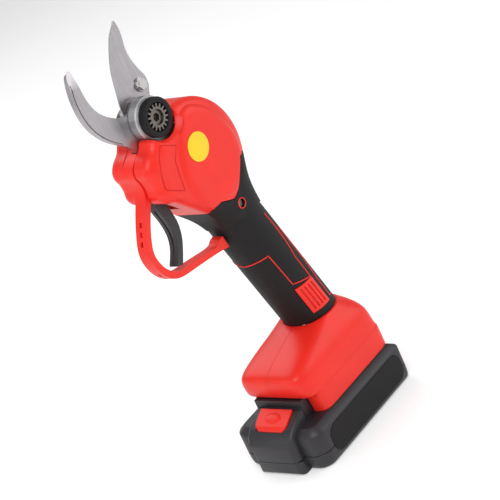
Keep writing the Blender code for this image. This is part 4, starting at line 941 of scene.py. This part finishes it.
pack = {
    "front": -53.2, "rear": 57.0, "half": 37.5, "wall": 2.0, "edge": 0.3,
    "cheek": 11.0, "corner": 5.0, "leastCorner": 0.6,
    # height and how much smaller the outline is there
    "lower": [(0, 2.4), (0.5, 1.5), (1.4, 0.9), (3.2, 0.4), (6.0, 0.1), (10.2, 0.0), (10.6, 0.35)],
    "upper": [(10.9, 0.35), (11.3, 0.0), (25.2, 0.0), (26.2, 0.5), (29.2, 4.5), (30.0, 5.7)],
    "lowerRoom": (2.0, 20.0), "upperRoom": (0.0, 22.2),
    "tray": [(-58.1, 0.0), (-60.0, 1.2), (-60.5, 2.6), (-61.1, 10.6), (-40.0, 10.6), (-40.0, 0.0)],
    "latch": [(-30.0, 10.9), (-30.0, 39.8), (-40.0, 38.6), (-53.0, 32.6), (-58.0, 28.2), (-60.6, 22.4),
              (-61.1, 10.9)],
    "latchFront": -61.3, "latchHalf": 20.2, "latchCorner": 6.5,
    "neck": {"front": -36.6, "rear": 20.0, "half": 20.7, "base": 26, "top": 44.4},
    "neckRoom": ((-24.6, -18, 19.4), (7.0, 18, 42.2)),
    "contacts": {"places": (-8.0, 8.0), "half": 1.5, "front": 4.0, "rear": 24.0, "low": 34.8, "high": 43.2},
}


def packRing(settings, smaller, z):
    rear, front, half = settings["rear"] - smaller, settings["front"] + smaller, settings["half"] - smaller
    cheek, corner = settings["cheek"] - smaller, max(settings["leastCorner"], settings["corner"] - smaller)
    line = arcLine((rear - corner, half - corner), corner, 0, 90, 10)
    line += arcLine((front + cheek, half - cheek), cheek, 90, 180, 16)
    line += arcLine((front + cheek, cheek - half), cheek, 180, 270, 16)
    line += arcLine((rear - corner, corner - half), corner, 270, 360, 10)
    return [(x, y, z) for x, y in line]


def packSkin(name, settings, layers):
    return skin(name, [packRing(settings, smaller, z) for z, smaller in layers])


def blockSkin(name, low, high):
    corners = [(low[0], low[1]), (high[0], low[1]), (high[0], high[1]), (low[0], high[1])]
    return skin(name, [[(x, y, z) for x, y in corners] for z in (low[2], high[2])])


def planBlock(name, front, half, corner, rear=-20):
    # a tall block with its front corners cut round in plan
    line = arcLine((front + corner, half - corner), corner, 90, 180, 10)
    line += arcLine((front + corner, corner - half), corner, 180, 270, 10) + [(rear, -half), (rear, half)]
    return skin(name, [[(x, y, z) for x, y in line] for z in (-5, 60)])


def roundedSlab(name, outline, half, radius=2.2):
    # a block across y whose ends are drawn in, so its side edges are rounded
    ends = [(half - radius, 0.0), (half - 0.3 * radius, radius * 0.38), (half, radius * 0.9)]
    low, back = min(z for _, z in outline), max(x for x, _ in outline)
    rings = []
    for y, smaller in [(-y, smaller) for y, smaller in reversed(ends)] + ends:
        drawn = smallerLine(outline, smaller) if smaller else outline
        rings.append([(x if ox < back - 0.01 else ox, y, z if oz > low + 0.01 else oz)
                      for (x, z), (ox, oz) in zip(drawn, outline)])
    return skin(name, rings)


def addFront(piece, name, outline, settings):
    # the middle of the pack's front stands forward of the rest
    front, half, corner = settings["latchFront"], settings["latchHalf"], settings["latchCorner"]
    block = roundedSlab(name, outline, half)
    addTo(piece, combine(block, "INTERSECT", planBlock(name + "Plan", front, half, corner)))


def makeCases(settings):
    wall, neck, contacts = settings["wall"], settings["neck"], settings["contacts"]
    lower = packSkin("packLowerCase", settings, settings["lower"])
    addFront(lower, "tray", settings["tray"], settings)
    cutFrom(lower, packSkin("lowerRoom", settings, [(z, wall) for z in settings["lowerRoom"]]))
    upper = packSkin("packUpperCase", settings, settings["upper"])
    addFront(upper, "latchBlock", settings["latch"], settings)
    addTo(upper, blockSkin("neck", (neck["front"], -neck["half"], neck["base"]),
                           (neck["rear"], neck["half"], neck["top"])))
    cutFrom(upper, packSkin("upperRoom", settings, [(z, wall) for z in settings["upperRoom"]]))
    cutFrom(upper, blockSkin("neckRoom", *settings["neckRoom"]))
    for y in contacts["places"]:
        cutFrom(upper, blockSkin("contactSlot", (contacts["front"], y - contacts["half"], contacts["low"]),
                                 (contacts["rear"], y + contacts["half"], contacts["high"])))
    return lower, upper


button = {
    "rear": -39.6, "brow": -52.0, "front": -54.0, "base": 28.2, "top": 40.2, "half": 14.0, "corner": 5.0,
    "slope": 6.0 / 13.0, "lip": 1.8, "travel": 3.5, "clear": 0.3, "edge": 0.9,
    "pad": [(0, 1.1), (3.0, 1.05), (4.3, 0.75), (5.0, 0.3), (5.3, -0.6), (0, -0.6)],
    "padPlace": -46.2, "padScale": (0.8, 1.35, 0.9, 1),
}


def cutPocket(piece, settings):
    # the well the latch button sinks into
    clear = settings["clear"]
    low, around = settings["base"] - settings["travel"] - clear, settings["half"] + clear
    rear, front = settings["rear"] + clear, settings["front"] - clear
    pocket = slab("pocket", [(rear, 60), (rear, low), (front, low), (front, 60)], -around, around)
    plan = planBlock("pocketPlan", front - 0.01, around, settings["corner"] + clear)
    cutFrom(piece, combine(pocket, "INTERSECT", plan))


def makeButton(settings):
    rear, brow, front, base = (settings[k] for k in ("rear", "brow", "front", "base"))
    top, slope, half = settings["top"], settings["slope"], settings["half"]
    browTop = top - slope * (rear - brow)
    profile = [(rear, base), (rear, top), (brow, browTop), (front, browTop - settings["lip"]), (front, base)]
    latch = slab("latchButton", profile, -half, half)
    combine(latch, "INTERSECT", planBlock("buttonPlan", front - 0.01, half, settings["corner"]))
    pad = turnedPiece("thumbPad", settings["pad"], (0, 0, 0), (0, 0, 1))
    place = (settings["padPlace"], 0, top + (settings["padPlace"] - rear) * slope)
    pad.data.transform(Matrix.Translation(Vector(place) * mm) @ Matrix.Rotation(-math.atan(slope), 4, "Y")
                       @ Matrix.Diagonal(settings["padScale"]))
    return roundEdges(latch, settings["edge"], 3, 30), pad


plate = {
    # each corner's centre, and the first and last angle of its arc
    "corners": [((42.5, 12.4), -90, -12), ((42.5, 15.6), 20, 90), ((-31.0, 15.6), 90, 165),
                ((-31.0, 12.4), 195, 270)],
    "radius": 9.0,
    # how much smaller the outline is, and how far out that layer lies
    "layers": [(0.0, -0.5), (0.0, 0.1), (0.35, 0.42)],
}


def sidePlate(name, settings, side, half):
    outline = []
    for centre, first, last in settings["corners"]:
        outline += arcLine(centre, settings["radius"], first, last, 10)
    rings = [[(x, side * (half + out), z) for x, z in smallerLine(outline, smaller)]
             for smaller, out in settings["layers"]]
    return skin(name, rings)


packLower, packUpper = makeCases(pack)
cutPocket(packUpper, button)
latchButton, thumbPad = makeButton(button)
settle(roundEdges(packLower, pack["edge"], 2, 40), "pack", "dark_plastic", "pack_lower_case")
settle(roundEdges(packUpper, pack["edge"], 2, 40), "pack", "dark_plastic", "pack_upper_case")
for side, name in ((-1, "Left"), (1, "Right")):
    settle(sidePlate("sidePanel" + name, plate, side, pack["half"]), "pack", "grip_rubber")
settle(latchButton, "latch", "red_casing", "latch_button")
settle(thumbPad, "latch", "red_casing")

print("label")

label = {
    "place": (-22.9, -22.3, 237.0),
    "profile": [(0, 0), (9.5, 0), (9.7, 0.1), (9.65, 0.36), (9.5, 0.4), (0, 0.4)],
}
roundLabel = turnedPiece("roundLabel", label["profile"], label["place"], (0, -1, 0), 96)
settle(roundLabel, "casing", "yellow_label", "round_label")

print("floor")

paper = {"size": 9.0, "drop": 0.4, "glow": 0.22, "roughness": 0.9, "cloudScale": 3, "shades": (0.93, 0.95)}


def addFloor(settings):
    finish = Finish("floorPaper", {"Roughness": settings["roughness"], "Emission Color": (1, 1, 1),
                                   "Emission Strength": settings["glow"]})
    low, high = settings["shades"]
    finish.set("Base Color", finish.blend(finish.noise(settings["cloudScale"]), [low] * 3, [high] * 3))
    mesh = bpy.data.meshes.new("floor")
    half, level = settings["size"] / 2, -settings["drop"] * mm
    corners = [(-half, -half, level), (half, -half, level), (half, half, level), (-half, half, level)]
    mesh.from_pydata(corners, [], [(0, 1, 2, 3)])
    mesh.materials.append(finish.material)
    floor = bpy.data.objects.new("floor", mesh)
    scene.collection.objects.link(floor)


addFloor(paper)
